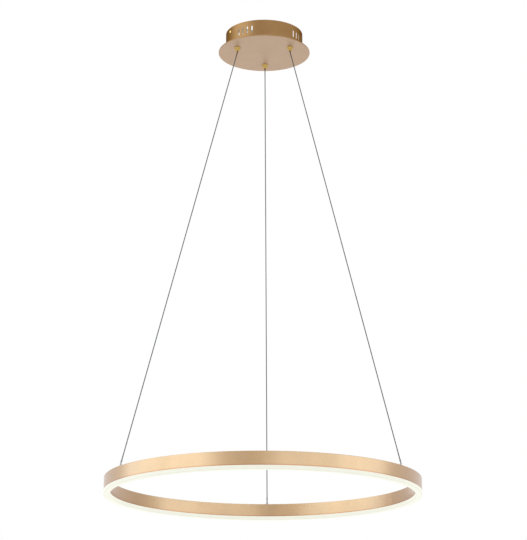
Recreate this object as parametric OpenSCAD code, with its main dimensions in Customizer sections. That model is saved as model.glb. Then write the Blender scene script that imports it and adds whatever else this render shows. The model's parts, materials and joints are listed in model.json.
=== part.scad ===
// Ring pendant light: a satin gold ring with a glowing opal diffuser, hung on three coated steel
// wires from a round ceiling canopy. Two of the wires also carry the low-voltage supply.
// Millimetres, +Z up. The origin is the centre of the ceiling plane, and everything hangs below it.
// An azimuth is counted from -Y towards +X.

/* [Ring] */
// Outer diameter of the ring
ring_d = 600; // [450:10:900]
// Radial width of the ring section
ring_w = 12; // [11:0.5:16]
// Height of the gold profile
profile_h = 25; // [24:0.5:40]
// Height of the diffuser below the profile
diffuser_h = 7; // [4:0.5:12]
// Thickness of the profile's side walls
profile_wall = 1.2; // [0.8:0.1:1.4]
// Thickness of the profile's top
profile_top = 1.4; // [1:0.1:2.5]
// Height of the wire chamber above the web
chamber_h = 9.4; // [9:0.1:11]
// Thickness of the web between wire chamber and light channel
web_t = 1.2; // [1:0.1:2]
// Radius of the profile's upper edges
profile_edge_r = 0.6; // [0.3:0.1:1]
// Inward reach of the snap lips at the mouth of the channel
lip_reach = 0.4; // [0.2:0.1:0.5]
// Height of the snap lips
lip_h = 0.8; // [0.5:0.1:1.2]
// Azimuth of the profile's seam
seam_az = 120; // [90:1:150]
// Width of the seam
seam_gap = 0.2; // [0.1:0.1:0.5]

/* [Diffuser] */
// Thickness of the diffuser's tongue walls
tongue_wall = 1.2; // [0.8:0.1:1.6]
// Height of the tongue inside the channel
tongue_h = 6; // [4:0.5:8]
// Thickness of the diffuser's lower face
diffuser_face = 2; // [1.2:0.1:3]
// Radius of the diffuser's lower edges
diffuser_edge_r = 1; // [0.5:0.1:1.5]
// Outward reach of the barb that catches behind the lips
barb_reach = 0.3; // [0.2:0.1:0.5]

/* [Light source] */
// Number of LED chips
led_count = 90; // [60:2:110]
// Width of the LED strip
strip_w = 8; // [6:0.5:8]
// Thickness of the LED strip
strip_t = 0.3; // [0.2:0.1:0.5]
// Chip size along the ring, across it and in height
chip_size = [2.8, 3.5, 0.7];
// Gap between the ends of the strip
strip_end_gap = 4; // [2:0.5:8]

/* [Ring joints] */
// Length of the joiner bar at the seam
joiner_l = 50; // [40:1:80]
// Clearance of the joiner in the wire chamber
joiner_gap = 0.15; // [0.1:0.05:0.3]
// Diameter of the joiner screws
joiner_screw_d = 3; // [2.5:0.1:4]
// Distance of each joiner screw from the seam
joiner_screw_offset = 14; // [8:1:18]
// Depth of a joiner screw in the bar
joiner_screw_grip = 7; // [4:0.5:8]
// Diameter of the thread of a ring nipple
nipple_thread_d = 5; // [4:0.5:6]
// Diameter of a nipple's collar
nipple_collar_d = 5.6; // [5.4:0.1:7]
// Height of a nipple's collar
nipple_collar_h = 1.4; // [1:0.1:2]
// Diameter of a nipple's stem
nipple_stem_d = 3.7; // [3.5:0.1:4.5]
// Height of a nipple's stem above the collar
nipple_stem_h = 3.8; // [2:0.1:6]
// Length of an anchor nut along the ring
anchor_l = 12; // [9:0.5:20]
// Height of an anchor nut
anchor_h = 4.5; // [3:0.1:5]
// Diameter of a crimp bead
bead_d = 3.4; // [3:0.1:4.5]
// Length of a crimp bead
bead_l = 5.4; // [4:0.1:8]
// Height of a bead's centre above the ring's top
bead_rise = 11; // [10.5:0.1:16]

/* [Suspension] */
// Height of the wires, from the canopy plate to the ring's top
drop = 870; // [600:10:1500]
// Diameter of a suspension wire with its coating
wire_d = 2; // [1.6:0.1:2.3]
// Distance from the drum's inner face to a gripper's centre
gripper_inset = 15.3; // [13.8:0.1:16.8]
// Azimuth of the near right gripper, mirrored on the left
front_gripper_az = 60; // [55:1:62]

/* [Gripper] */
// Diameter of the flange below the plate
gripper_flange_d = 14; // [12:0.5:16]
// Thickness of the flange
gripper_flange_t = 1.4; // [1:0.1:2]
// Diameter of the cone under the flange
cone_top_d = 12.4; // [10.5:0.1:13]
// Diameter of the cone's lower end
cone_low_d = 5.4; // [4.8:0.1:7]
// Height of the gripper below the plate
nose_h = 7.2; // [7:0.1:9]
// Diameter of the threaded stud above the plate
stud_d = 10; // [9.5:0.5:12]
// Length of the stud above the plate's underside
stud_l = 16; // [15:0.5:20]
// Half angle of the clamping cone
seat_angle = 9; // [8:0.5:10]
// Height of the clamping cone's upper end above the plate's underside
seat_top = 3; // [2.5:0.1:3.5]
// Depth of the balls' centres below the clamping cone's upper end
ball_drop = 5.3; // [4.8:0.1:5.8]
// Diameter of a clamping ball
ball_d = 1.6; // [1.4:0.1:1.8]
// Reach of the plunger's nozzle below the nose
nozzle_reach = 1.9; // [1.8:0.1:3]
// Wall of the nozzle
nozzle_wall = 0.5; // [0.4:0.1:0.6]
// Travel of the plunger
plunger_travel = 1.6; // [1:0.1:1.7]
// Depth of the cap's plug in the stud
cap_plug_h = 4; // [3:0.5:5]
// Diameter of the cap's head
cap_head_d = 9.2; // [8.5:0.1:10]
// Height of the cap's head
cap_head_h = 1.2; // [1:0.1:2]
// Diameter of the return spring's wire
spring_wire_d = 0.5; // [0.4:0.05:0.55]
// Number of turns of the return spring
spring_turns = 6; // [5:1:7]
// Width across the flats of the lock nut
locknut_af = 14; // [13:0.5:15]
// Height of the lock nut
locknut_h = 4; // [3:0.5:5]

/* [Canopy] */
// Diameter of the canopy plate
plate_d = 184; // [170:2:220]
// Thickness of the canopy plate
plate_t = 2.5; // [2:0.1:3]
// Chamfer of the plate's edges
plate_chamfer = 0.4; // [0.2:0.1:0.8]
// Outer diameter of the drum
drum_d = 155; // [150:1:165]
// Wall thickness of the drum
drum_wall = 1.2; // [0.8:0.1:1.6]
// Height of the canopy from the ceiling to the plate's underside
canopy_h = 41; // [41:1:60]
// Gap between the drum's rim and the ceiling
rim_gap = 0.5; // [0.2:0.1:2]
// Width of the drum's inward lip
drum_lip_w = 5; // [4:0.5:6]
// Number of vent slots in a group
slots_in_group = 4; // [2:1:5]
// Number of groups of vent slots
slot_groups = 4; // [2:1:4]
// Azimuth of the first group of slots
slot_group_az = -28; // [-35:1:-25]
// Angle between two slots of a group
slot_pitch = 7.5; // [7:0.1:8]
// Width of a vent slot
slot_w = 3; // [2:0.1:4]
// Height of a vent slot
slot_h = 15; // [10:0.5:18]
// Height of a slot's centre above the plate's underside
slot_rise = 22; // [18:0.5:24]
// Radius of a lug that joins drum and plate
lug_r = 6; // [5:0.5:7]
// Distance from the drum's inner face to a lug's centre
lug_inset = 8.8; // [8:0.1:10]

/* [Ceiling bracket] */
// Width of the bracket's strap
strap_w = 24; // [18:1:30]
// Thickness of the bracket's sheet
strap_t = 1.5; // [1.2:0.1:2.5]
// Width of the bracket's end tabs
tab_w = 14; // [12:0.5:18]
// Length of the end tabs down from the ceiling
tab_l = 16; // [15:0.5:20]
// Azimuth of the bracket's first tab
bracket_az = -60; // [-62:1:-58]
// Diameter of the circle of the two ceiling screw holes
ceiling_pcd = 76; // [72:1:84]
// Diameter of a ceiling screw hole
ceiling_hole_d = 5; // [4:0.1:6]
// Diameter of the cable hole in the middle
cable_hole_d = 10.4; // [8:0.1:14]
// End-to-end length of the strap's adjusting slots
strap_slot_l = 14; // [10:1:16]
// Distance of a slot's centre from the middle
strap_slot_r = 22; // [20:0.5:24]
// Depth of the side screws below the ceiling
side_screw_depth = 9; // [8:0.5:10]
// Diameter of the side screws
side_screw_d = 4; // [3:0.5:5]
// Head diameter of the side screws
side_head_d = 5.8; // [5.6:0.1:8]
// Head height of the side screws
side_head_h = 2.2; // [1.5:0.1:3]
// Length of the side screws under the head
side_screw_l = 9; // [7:0.5:12]

/* [Driver] */
// Length of the driver's case
driver_l = 104; // [90:1:108]
// Width of the driver's case
driver_w = 38; // [30:1:39]
// Height of the driver's case
driver_h = 22; // [20:0.5:23]
// Gap between the driver's case and the near lock nuts
driver_gap = 2.4; // [2:0.1:3]
// Wall of the driver's case
driver_wall = 1.5; // [1:0.1:2]
// Thickness of the driver's base and ears
driver_base_t = 2; // [1.5:0.1:3]
// Length of each ear beyond the case
ear_l = 9; // [8.5:0.5:11]
// Width of each ear
ear_w = 12; // [8:0.5:14]
// Height of the board above the driver's base
board_rise = 3; // [2:0.5:4]
// Thickness of the board
board_t = 1.6; // [1:0.1:2]

/* [Terminals and fasteners] */
// Gap from the terminal block to the driver's case and to the rear lock nut
block_gap = 1.8; // [1:0.1:3]
// Length of the block along the wires
block_l = 17; // [14:0.5:18]
// Width of one pole of the block
pole_w = 7.5; // [7.4:0.1:8]
// Height of the block
block_h = 13; // [12:0.5:16]
// Height of the wire holes above the plate
block_hole_rise = 5.5; // [4:0.1:6]
// Diameter of the block's wire holes
block_hole_d = 3.4; // [2.4:0.1:4]
// Diameter of an insulated lead inside the canopy
lead_d = 1.8; // [1.4:0.1:2]
// Distance of the cable clamp from the middle along X
clamp_offset = 24; // [20:0.5:26]
// Gap between the cable clamp and the driver's case
clamp_gap = 2.3; // [1:0.1:3]
// Spacing of the clamp's studs
clamp_spacing = 22; // [20:0.5:24]
// Diameter of the supply cable that the clamp takes
supply_cable_d = 8; // [6:0.1:9]
// Width of the clamp's strip
clamp_w = 8; // [6:0.5:10]
// Thickness of the clamp's strip
clamp_t = 1.2; // [1:0.1:1.6]
// Azimuth of the earth stud
earth_az = 135.6; // [134:0.1:138]
// Gap between the earth eyelet and the drum's lip
earth_gap = 3.5; // [2:0.1:4]
// Diameter of the plate's welded studs
weld_stud_d = 3; // [2.5:0.1:3.5]
// Length of the welded studs above the plate
weld_stud_l = 8; // [7:0.5:9]
// Width across the flats of the small nuts
nut_af = 5.5; // [5.4:0.1:6.5]
// Height of the small nuts
nut_h = 2.4; // [2:0.1:3]

/* [Hidden] */
$fn = 64;

// Small amount by which a cut runs past a face
cut = 1;
// Radial clearance of a screw or stud in its own thread
thread_gap = 0.05;
// Radial clearance of a screw or stud in a plain hole
hole_gap = 0.2;
// Radial clearance between pieces that slide past each other
slide_gap = 0.2;
// Gap between pieces that only just touch
touch_gap = 0.05;
// Radial clearance of a wire or lead in a hole that it bends towards
lead_gap = 0.5;
// Gap between two lengths of one wire, where it is divided
joint_gap = 0.2;
// Width and depth of a screwdriver slot
driver_slot = [0.8, 0.7];

// Heights in the canopy and the ring
plate_low_z = -canopy_h;
plate_top_z = plate_low_z + plate_t;
ring_top_z = plate_low_z - drop;
profile_low_z = ring_top_z - profile_h;
diffuser_low_z = profile_low_z - diffuser_h;
channel_h = profile_h - profile_top - chamber_h - web_t;
web_low_z = profile_low_z + channel_h;
web_top_z = web_low_z + web_t;
chamber_top_z = ring_top_z - profile_top;
ring_mid_r = ring_d / 2 - ring_w / 2;
channel_w = ring_w - 2 * profile_wall;

// Azimuths of the left, right and rear wires
wire_az = [-front_gripper_az, front_gripper_az, 180];

// Places in the canopy that follow the drum's inner face
drum_inner_r = drum_d / 2 - drum_wall;
drum_lip_r = drum_inner_r - drum_lip_w;
gripper_circle_r = drum_inner_r - gripper_inset;
lug_circle_r = drum_inner_r - lug_inset;

// Gripper, with heights counted from the plate's underside
stud_gap = 0.1;
nose_web = 1.8;
cage_foot = 0.6;
collar_rise = 0.4;
cap_step = 0.35;
cap_notch = [1.6, 1.4, 0.7];
wire_r = wire_d / 2;
ball_r = ball_d / 2;
ball_centre_r = wire_r + ball_r + touch_gap;
ball_z = seat_top - ball_drop;
bore_r = ball_centre_r + (ball_r + touch_gap) / cos(seat_angle) + ball_drop * tan(seat_angle);
nozzle_bore_r = wire_r + slide_gap;
nozzle_r = nozzle_bore_r + nozzle_wall;
nozzle_hole_r = nozzle_r + slide_gap / 2;
nozzle_low = -nose_h - nozzle_reach;
seat_low = -nose_h + nose_web;
cage_low = ball_z - ball_r - cage_foot;
cage_r = seat_r(cage_low) - slide_gap;
collar_low = seat_top + collar_rise;
collar_h = 1.2;
collar_r = bore_r - slide_gap;
spring_r = (nozzle_r + collar_r) / 2;
cap_low = stud_l - cap_plug_h;
cap_plug_r = bore_r + cap_step;
cap_bore_r = wire_r + lead_gap;
guide_top = cap_low - plunger_travel - touch_gap;
cap_top = stud_l + cap_head_h;

// Wires between gripper and ring
tail_rise = 3;
tail_low = nozzle_low + joint_gap;
wire_exit_z = plate_low_z + nozzle_low - joint_gap / 2;
nipple_top_z = ring_top_z + nipple_collar_h + nipple_stem_h;
wire_reach = ring_mid_r - gripper_circle_r;
wire_fall = wire_exit_z - nipple_top_z;
wire_tilt = atan2(wire_reach, wire_fall);
nipple_gap = 0.3;
bead_edge = 0.8;
bead_lip = 0.125;
bead_bore_r = wire_r + touch_gap / 2;
bead_middle = (bead_rise - nipple_collar_h - nipple_stem_h) / cos(wire_tilt);
bead_top = bead_middle + bead_l / 2;
wire_l = norm([wire_reach, wire_fall]) - bead_top - joint_gap;
nipple_bore_r = wire_r + nipple_gap;
anchor_low_z = chamber_top_z - anchor_h;
stop_h = 2.4;
stop_wall = 1.1;
wire_end_reach = 0.4;
wire_stop_z = anchor_low_z - touch_gap - stop_h;
wire_end_z = wire_stop_z - wire_end_reach;

// Ring
anchor_side_gap = 0.6;
ring_lead_d = 1.2;
web_hole_gap = 0.6;
screw_tip_gap = 0.4;
barb_play = 0.2;
barb_h = 2.4;
tongue_root = 0.1;

// Canopy
drum_h = canopy_h - plate_t - rim_gap;
lug_az = [0, 120, -120];
stud_hole_r = weld_stud_d / 2 + hole_gap;
tab_gap = 0.3;
tab_face_r = sqrt(pow(drum_inner_r - tab_gap, 2) - pow(tab_w / 2, 2));
boss_wall = 1.5;
boss_d = side_screw_d + 2 * boss_wall;
boss_h = 2.5;
stud_root = 0.5;

// Driver
locknut_corner_r = locknut_af / 2 / cos(30);
driver_front_y = locknut_corner_r + driver_gap - gripper_circle_r * cos(front_gripper_az);
driver_y = driver_front_y + driver_w / 2;
driver_rear_y = driver_front_y + driver_w;
driver_end_x = driver_l / 2;
ear_stud_x = driver_l / 2 + ear_l / 2;
driver_floor_z = plate_top_z + driver_base_t;
board_low_z = driver_floor_z + board_rise;
board_top_z = board_low_z + board_t;
board_end_gap = 1;
board_terminal = [9, 3];
board_terminal_inset = 2.6;
board_terminal_side_gap = 4;
transformer = [22, 18];
transformer_x = 3;
capacitor_d = [12, 10, 9];
capacitor_y = [0, 6, -7];
capacitor_inset = 22.5;
board_part_gap = 1.5;
board_pillar_d = 4;
board_pillar_inset = [8, 6];
lead_rise = 3.4;
lead_entry_z = board_top_z + lead_rise;
lead_side_gap = 6;
lead_spacing = 5;
lead_in = 4;
live_y = driver_rear_y - lead_side_gap;
neutral_y = live_y - lead_spacing;
right_tail_y = driver_front_y + lead_side_gap;
left_tail_y = right_tail_y + lead_spacing;

// Mains side
block_corner = [locknut_corner_r + block_gap, driver_rear_y + block_gap];
block_floor = 3;
block_hole_l = 5.5;
block_groove = [0.8, 2];
block_screw_inset = 4;
block_screw_d = 4;
block_screw_h = 2.4;
block_screw_depth = 3.5;
block_screw_gap = 0.3;
block_w = 4 * pole_w;
block_hole_z = plate_top_z + block_hole_rise;
block_end_x = block_corner.x + block_l;
pole_y = [for (i = [0, 1, 3]) block_corner.y + (i + 0.5) * pole_w];
block_stud = [block_corner.x + block_l / 2, block_corner.y + 2.5 * pole_w];
clamp_foot_l = 7;
clamp_reach = clamp_spacing / 2 + clamp_foot_l / 2;
clamp_play = 0.2;
clamp_place = [-clamp_offset, driver_rear_y + clamp_gap + clamp_reach];
eyelet_t = 0.8;
eyelet_barrel_r = lead_d / 2 + 0.6;
eyelet_barrel_l = 5;
eyelet_r = 3.4;
eyelet_neck_l = 1;
earth_place = around(earth_az, drum_lip_r - earth_gap - eyelet_r, 0);

// Places of all welded studs, each with the thickness of what sits on it
weld_studs = concat(
    [for (a = lug_az) [lug_circle_r * sin(a), -lug_circle_r * cos(a), drum_wall]],
    [for (side = [-1, 1]) [side * ear_stud_x, driver_y, driver_base_t]],
    [for (side = [-1, 1]) [clamp_place.x, clamp_place.y + side * clamp_spacing / 2, clamp_t]],
    [[block_stud.x, block_stud.y, block_floor], [earth_place.x, earth_place.y, eyelet_t]]
);

// Routes of the leads inside the canopy, by hand. They leave the driver's ends, swing out from
// them and keep off the driver's front face.
swing = 10;
face_gap = 1.8;
gripper_x = gripper_circle_r * sin(front_gripper_az);
gripper_y = -gripper_circle_r * cos(front_gripper_az);
left_x = -driver_end_x;
right_x = driver_end_x;
lane_y = driver_front_y - face_gap;
lane_z = plate_top_z + driver_h - face_gap;
eyelet_mouth_x = earth_place.x - eyelet_r - eyelet_barrel_l;
live_route = [
    [block_end_x - lead_in, pole_y[0], block_hole_z],
    [block_end_x, pole_y[0], block_hole_z],
    [part_way(block_end_x, right_x, 0.25), pole_y[0], block_hole_z + 1.5],
    [part_way(block_end_x, right_x, 0.6), pole_y[0], block_hole_z + 4],
    [right_x, pole_y[0] - 1, block_hole_z + 5],
    [right_x + 0.7 * swing, part_way(pole_y[0], live_y, 0.5), lead_entry_z + 0.2],
    [right_x + 0.7 * swing, live_y + 1, lead_entry_z],
    [right_x + 0.3 * swing, live_y, lead_entry_z],
    [right_x - lead_in, live_y, lead_entry_z]
];
// Height to which the neutral lead rises above the terminals
neutral_rise = 10;
neutral_route = [
    [block_end_x - lead_in, pole_y[1], block_hole_z],
    [block_end_x, pole_y[1], block_hole_z],
    [part_way(block_end_x, right_x, 0.2), pole_y[1], block_hole_z + 2],
    [part_way(block_end_x, right_x, 0.7), pole_y[1] - 1, block_hole_z + 7],
    [right_x + 0.4 * swing, part_way(pole_y[1], neutral_y, 0.3), block_hole_z + neutral_rise],
    [right_x + 1.1 * swing, part_way(pole_y[1], neutral_y, 0.65), block_hole_z + neutral_rise - 0.5],
    [right_x + 1.1 * swing, neutral_y + 2.5, lead_entry_z + 2],
    [right_x + 0.5 * swing, neutral_y, lead_entry_z],
    [right_x - lead_in, neutral_y, lead_entry_z]
];
earth_route = [
    [block_end_x - lead_in, pole_y[2], block_hole_z],
    [block_end_x, pole_y[2], block_hole_z],
    [part_way(block_end_x, eyelet_mouth_x, 0.4), pole_y[2], block_hole_z - 0.3],
    [part_way(block_end_x, eyelet_mouth_x, 0.75), earth_place.y, plate_top_z + eyelet_barrel_r + 1],
    [eyelet_mouth_x, earth_place.y, plate_top_z + eyelet_barrel_r],
    [earth_place.x - eyelet_r - eyelet_neck_l, earth_place.y, plate_top_z + eyelet_barrel_r]
];
left_tail_route = [
    [-gripper_x - 0.3 * swing, part_way(gripper_y, left_tail_y, 0.1), lane_z + 1.8],
    [left_x - 0.9 * swing, part_way(gripper_y, left_tail_y, 0.45), lane_z + 2.8],
    [left_x - swing, part_way(gripper_y, left_tail_y, 0.8), lane_z - 0.7],
    [left_x - 0.8 * swing, left_tail_y - 0.6, lead_entry_z + 3.5],
    [left_x - 0.3 * swing, left_tail_y, lead_entry_z],
    [left_x + lead_in, left_tail_y, lead_entry_z]
];
right_tail_route = [
    [gripper_x - 0.4 * swing, part_way(gripper_y, lane_y, 0.4), lane_z + 2.3],
    [gripper_x - 1.2 * swing, part_way(gripper_y, lane_y, 0.85), lane_z + 2.8],
    [gripper_x / 2, lane_y, lane_z + 0.3],
    [left_x + 1.4 * swing, lane_y, lane_z - 1.7],
    [left_x - 0.1 * swing, lane_y, lane_z - 2.7],
    [left_x - 0.5 * swing, part_way(lane_y, right_tail_y, 0.4), lead_entry_z + 5],
    [left_x - 0.55 * swing, right_tail_y - 1, lead_entry_z + 1.5],
    [left_x - 0.3 * swing, right_tail_y, lead_entry_z],
    [left_x + lead_in, right_tail_y, lead_entry_z]
];
// Distance that the spare end of the rear wire runs inward, and the height of its arch over the lane
rear_tail_reach = 14;
rear_tail_arch = 2.8;
rear_tail_route = [
    [0.3 * swing, gripper_circle_r - 3, lane_z + 1.8],
    [1.1 * swing, gripper_circle_r - 9, lane_z + rear_tail_arch],
    [2.1 * swing, gripper_circle_r - rear_tail_reach, lane_z + rear_tail_arch - 1.5]
];

// Radius of the clamping cone at height z
function seat_r(z) = bore_r - (seat_top - z) * tan(seat_angle);

// Point on the circle of radius r at azimuth a and height z
function around(a, r, z) = [r * sin(a), -r * cos(a), z];

// Number at a share of the way from a to b
function part_way(a, b, share) = a + (b - a) * share;

function unit(v) = v / norm(v);

// Point at share t of segment i of a curve through all points of a route
function route_point(route, i, t) =
    let (
        last = len(route) - 1,
        a = route[max(i - 1, 0)],
        b = route[i],
        c = route[i + 1],
        d = route[min(i + 2, last)]
    )
    0.5 * (2 * b + (c - a) * t + (2 * a - 5 * b + 4 * c - d) * t * t + (3 * b - a - 3 * c + d) * t * t * t);

// A route with a point about every step
function smooth_route(route, step) = concat(
    [
        for (i = [0 : len(route) - 2])
            let (pieces = max(1, round(norm(route[i + 1] - route[i]) / step)))
                for (k = [0 : pieces - 1]) route_point(route, i, k / pieces)
    ],
    [route[len(route) - 1]]
);

function direction(path, i) = unit(path[min(i + 1, len(path) - 1)] - path[max(i - 1, 0)]);

// Direction square to the path at its point i and nearest to side
function squared(path, i, side) =
    let (along = direction(path, i))
    unit(side - (side * along) * along);

// Side directions that follow a path without twisting round it
function side_directions(path, side, i = 0) =
    i == len(path) ? [] :
    let (next = squared(path, i, side))
    concat([next], side_directions(path, next, i + 1));

function side_start(path) =
    let (along = direction(path, 0))
    unit(cross(along, abs(along.z) < 0.9 ? [0, 0, 1] : [1, 0, 0]));

// Round tube of radius r along a path, closed at both ends
module tube_along(path, r, sides = 8) {
    starts = side_directions(path, side_start(path));
    points = [
        for (i = [0 : len(path) - 1])
            let (u = starts[i], v = cross(direction(path, i), u))
                for (k = [0 : sides - 1])
                    path[i] + r * (cos(360 * k / sides) * u + sin(360 * k / sides) * v)
    ];
    walls = [
        for (i = [0 : len(path) - 2], k = [0 : sides - 1])
            let (
                a = i * sides + k,
                b = i * sides + (k + 1) % sides,
                c = a + sides,
                d = b + sides
            )
                each [[a, c, d], [a, d, b]]
    ];
    last = (len(path) - 1) * sides;
    start_cap = [for (k = [0 : sides - 1]) k];
    end_cap = [for (k = [sides - 1 : -1 : 0]) last + k];
    polyhedron(concat(points), concat(walls, [start_cap, end_cap]));
}

module at_azimuth(a, r = 0, z = 0) {
    rotate([0, 0, a]) translate([0, -r, z]) children();
}

// Rectangle of width w standing on the X axis, with its two far corners rounded
module rounded_far_side(w, h, r) {
    translate([-w / 2, 0]) square([w, h - r]);
    translate([r - w / 2, 0]) square([w - 2 * r, h]);
    for (side = [-1, 1]) translate([side * (w / 2 - r), h - r]) circle(r, $fn = 32);
}

module slot_outline(l, w) {
    square([l - w, w], center = true);
    for (side = [-1, 1]) translate([side * (l - w) / 2, 0]) circle(w / 2, $fn = 32);
}

// Part of a ring about the seam, drawn from a section in radius and height
module arc_at_seam(angle) {
    rotate([0, 0, seam_az - 90 - angle / 2]) rotate_extrude(angle = angle, $fn = 180) children();
}

// Canopy

module ceiling_bracket() {
    color("silver") rotate([0, 0, bracket_az + 90]) difference() {
        union() {
            translate([-tab_face_r, -strap_w / 2, -strap_t]) cube([2 * tab_face_r, strap_w, strap_t]);
            for (side = [-1, 1]) {
                translate([side * (tab_face_r - strap_t / 2), 0, -tab_l / 2])
                    cube([strap_t, tab_w, tab_l], center = true);
                translate([side * (tab_face_r - strap_t), 0, -side_screw_depth])
                    rotate([0, -90 * side, 0]) cylinder(d = boss_d, h = boss_h);
            }
        }
        corner = (strap_w - tab_w) / 2;
        for (x = [-1, 1], y = [-1, 1])
            translate([x * tab_face_r, y * strap_w / 2, -strap_t / 2])
                rotate([0, 0, 45]) cube([corner * sqrt(2), corner * sqrt(2), strap_t + cut], center = true);
        translate([0, 0, -strap_t - cut]) cylinder(d = cable_hole_d, h = strap_t + 2 * cut);
        for (side = [-1, 1]) {
            translate([side * ceiling_pcd / 2, 0, -strap_t - cut])
                cylinder(d = ceiling_hole_d, h = strap_t + 2 * cut);
            translate([side * strap_slot_r, 0, -strap_t - cut])
                linear_extrude(strap_t + 2 * cut) slot_outline(strap_slot_l, ceiling_hole_d);
            translate([side * (tab_face_r - strap_t - boss_h - cut), 0, -side_screw_depth])
                rotate([0, 90 * side, 0])
                    cylinder(r = side_screw_d / 2, h = strap_t + boss_h + 2 * cut);
        }
    }
}

module side_screws() {
    color("gold") for (a = [bracket_az, bracket_az + 180])
        at_azimuth(a, drum_d / 2, -side_screw_depth) rotate([90, 0, 0]) {
            difference() {
                rotate_extrude() intersection() {
                    translate([0, -side_head_h]) circle(norm([side_head_d / 2, side_head_h]), $fn = 64);
                    square([side_head_d / 2, side_head_h]);
                }
                translate([0, 0, side_head_h])
                    cube([side_head_d + cut, driver_slot.x, 2 * driver_slot.y], center = true);
            }
            translate([0, 0, -side_screw_l])
                cylinder(r = side_screw_d / 2 - thread_gap, h = side_screw_l + touch_gap);
        }
}

module canopy_drum() {
    color("darkgoldenrod") difference() {
        union() {
            rotate_extrude($fn = 180) {
                translate([drum_inner_r, plate_top_z]) square([drum_wall, drum_h]);
                translate([drum_lip_r, plate_top_z])
                    square([drum_lip_w + drum_wall / 2, drum_wall]);
            }
            for (a = lug_az)
                at_azimuth(a, lug_circle_r, plate_top_z) cylinder(r = lug_r, h = drum_wall);
        }
        for (a = lug_az)
            at_azimuth(a, lug_circle_r, plate_top_z - cut) cylinder(r = stud_hole_r, h = drum_wall + 2 * cut);
        for (group = [0 : slot_groups - 1], i = [0 : slots_in_group - 1])
            at_azimuth(
                slot_group_az + group * 360 / slot_groups + (i - (slots_in_group - 1) / 2) * slot_pitch,
                drum_inner_r - cut, plate_low_z + slot_rise
            )
                rotate([90, 90, 0]) linear_extrude(drum_wall + 2 * cut) slot_outline(slot_h, slot_w);
        for (a = [bracket_az, bracket_az + 180])
            at_azimuth(a, drum_inner_r - cut, -side_screw_depth)
                rotate([90, 0, 0]) cylinder(r = side_screw_d / 2 + hole_gap, h = drum_wall + 2 * cut);
    }
}

module canopy_plate() {
    color("tan") {
        difference() {
            rotate_extrude($fn = 180) polygon([
                [0, plate_low_z],
                [plate_d / 2 - plate_chamfer, plate_low_z],
                [plate_d / 2, plate_low_z + plate_chamfer],
                [plate_d / 2, plate_top_z - plate_chamfer],
                [plate_d / 2 - plate_chamfer, plate_top_z],
                [0, plate_top_z]
            ]);
            for (a = wire_az)
                at_azimuth(a, gripper_circle_r, plate_low_z - cut)
                    cylinder(r = stud_d / 2 + stud_gap, h = plate_t + 2 * cut);
        }
        for (place = weld_studs)
            translate([place.x, place.y, plate_top_z - stud_root])
                cylinder(d = weld_stud_d, h = weld_stud_l + stud_root);
    }
}

module plate_nuts() {
    color("silver") for (place = weld_studs)
        translate([place.x, place.y, plate_top_z + place.z]) difference() {
            cylinder(d = nut_af / cos(30), h = nut_h, $fn = 6);
            translate([0, 0, -cut]) cylinder(r = weld_stud_d / 2 + thread_gap, h = nut_h + 2 * cut);
        }
}

// Driver

module driver_base() {
    color("whitesmoke") translate([0, driver_y, plate_top_z]) {
        difference() {
            union() {
                translate([-driver_l / 2, -driver_w / 2, 0]) cube([driver_l, driver_w, driver_base_t]);
                translate([-driver_l / 2 - ear_l, -ear_w / 2, 0])
                    cube([driver_l + 2 * ear_l, ear_w, driver_base_t]);
            }
            for (side = [-1, 1])
                translate([side * ear_stud_x, 0, -cut]) cylinder(r = stud_hole_r, h = driver_base_t + 2 * cut);
        }
        for (x = [-1, 1], y = [-1, 1])
            translate([
                x * (driver_l / 2 - board_pillar_inset.x),
                y * (driver_w / 2 - board_pillar_inset.y),
                driver_base_t - cut / 4
            ])
                cylinder(d = board_pillar_d, h = board_rise + cut / 4);
    }
}

module driver_cover() {
    wall = driver_wall;
    inner_h = driver_h - driver_base_t - wall;
    color("white") difference() {
        translate([-driver_l / 2, driver_y - driver_w / 2, driver_floor_z])
            cube([driver_l, driver_w, driver_h - driver_base_t]);
        translate([wall - driver_l / 2, driver_y - driver_w / 2 + wall, driver_floor_z - cut])
            cube([driver_l - 2 * wall, driver_w - 2 * wall, inner_h + cut]);
        for (y = [live_y, neutral_y])
            translate([driver_l / 2 - wall - cut, y, lead_entry_z])
                rotate([0, 90, 0]) cylinder(r = lead_d / 2 + lead_gap, h = wall + 2 * cut);
        for (y = [left_tail_y, right_tail_y])
            translate([-driver_l / 2 - cut, y, lead_entry_z])
                rotate([0, 90, 0]) cylinder(r = wire_r + lead_gap, h = wall + 2 * cut);
    }
}

module driver_board() {
    room_l = driver_l - 2 * driver_wall - 2 * board_end_gap;
    room_w = driver_w - 2 * driver_wall - 2 * board_end_gap;
    part_h = driver_h - driver_base_t - driver_wall - board_rise - board_t - board_part_gap;
    capacitor_x = room_l / 2 - capacitor_inset;
    capacitor_h = [part_h, part_h, part_h - board_terminal.y];
    color("seagreen") translate([0, driver_y, board_low_z]) {
        translate([-room_l / 2, -room_w / 2, 0]) cube([room_l, room_w, board_t]);
        translate([transformer_x - transformer.x / 2, -transformer.y / 2, board_t])
            cube([transformer.x, transformer.y, part_h - board_part_gap]);
        for (i = [0 : len(capacitor_d) - 1])
            translate([i == 0 ? -capacitor_x : capacitor_x, capacitor_y[i], board_t])
                cylinder(d = capacitor_d[i], h = capacitor_h[i]);
        for (side = [-1, 1])
            translate([side * (room_l / 2 - board_terminal.x / 2 - board_terminal_inset), 0, board_t])
                linear_extrude(board_terminal.y)
                    square([board_terminal.x, room_w - 2 * board_terminal_side_gap], center = true);
    }
}

// Mains side

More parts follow.
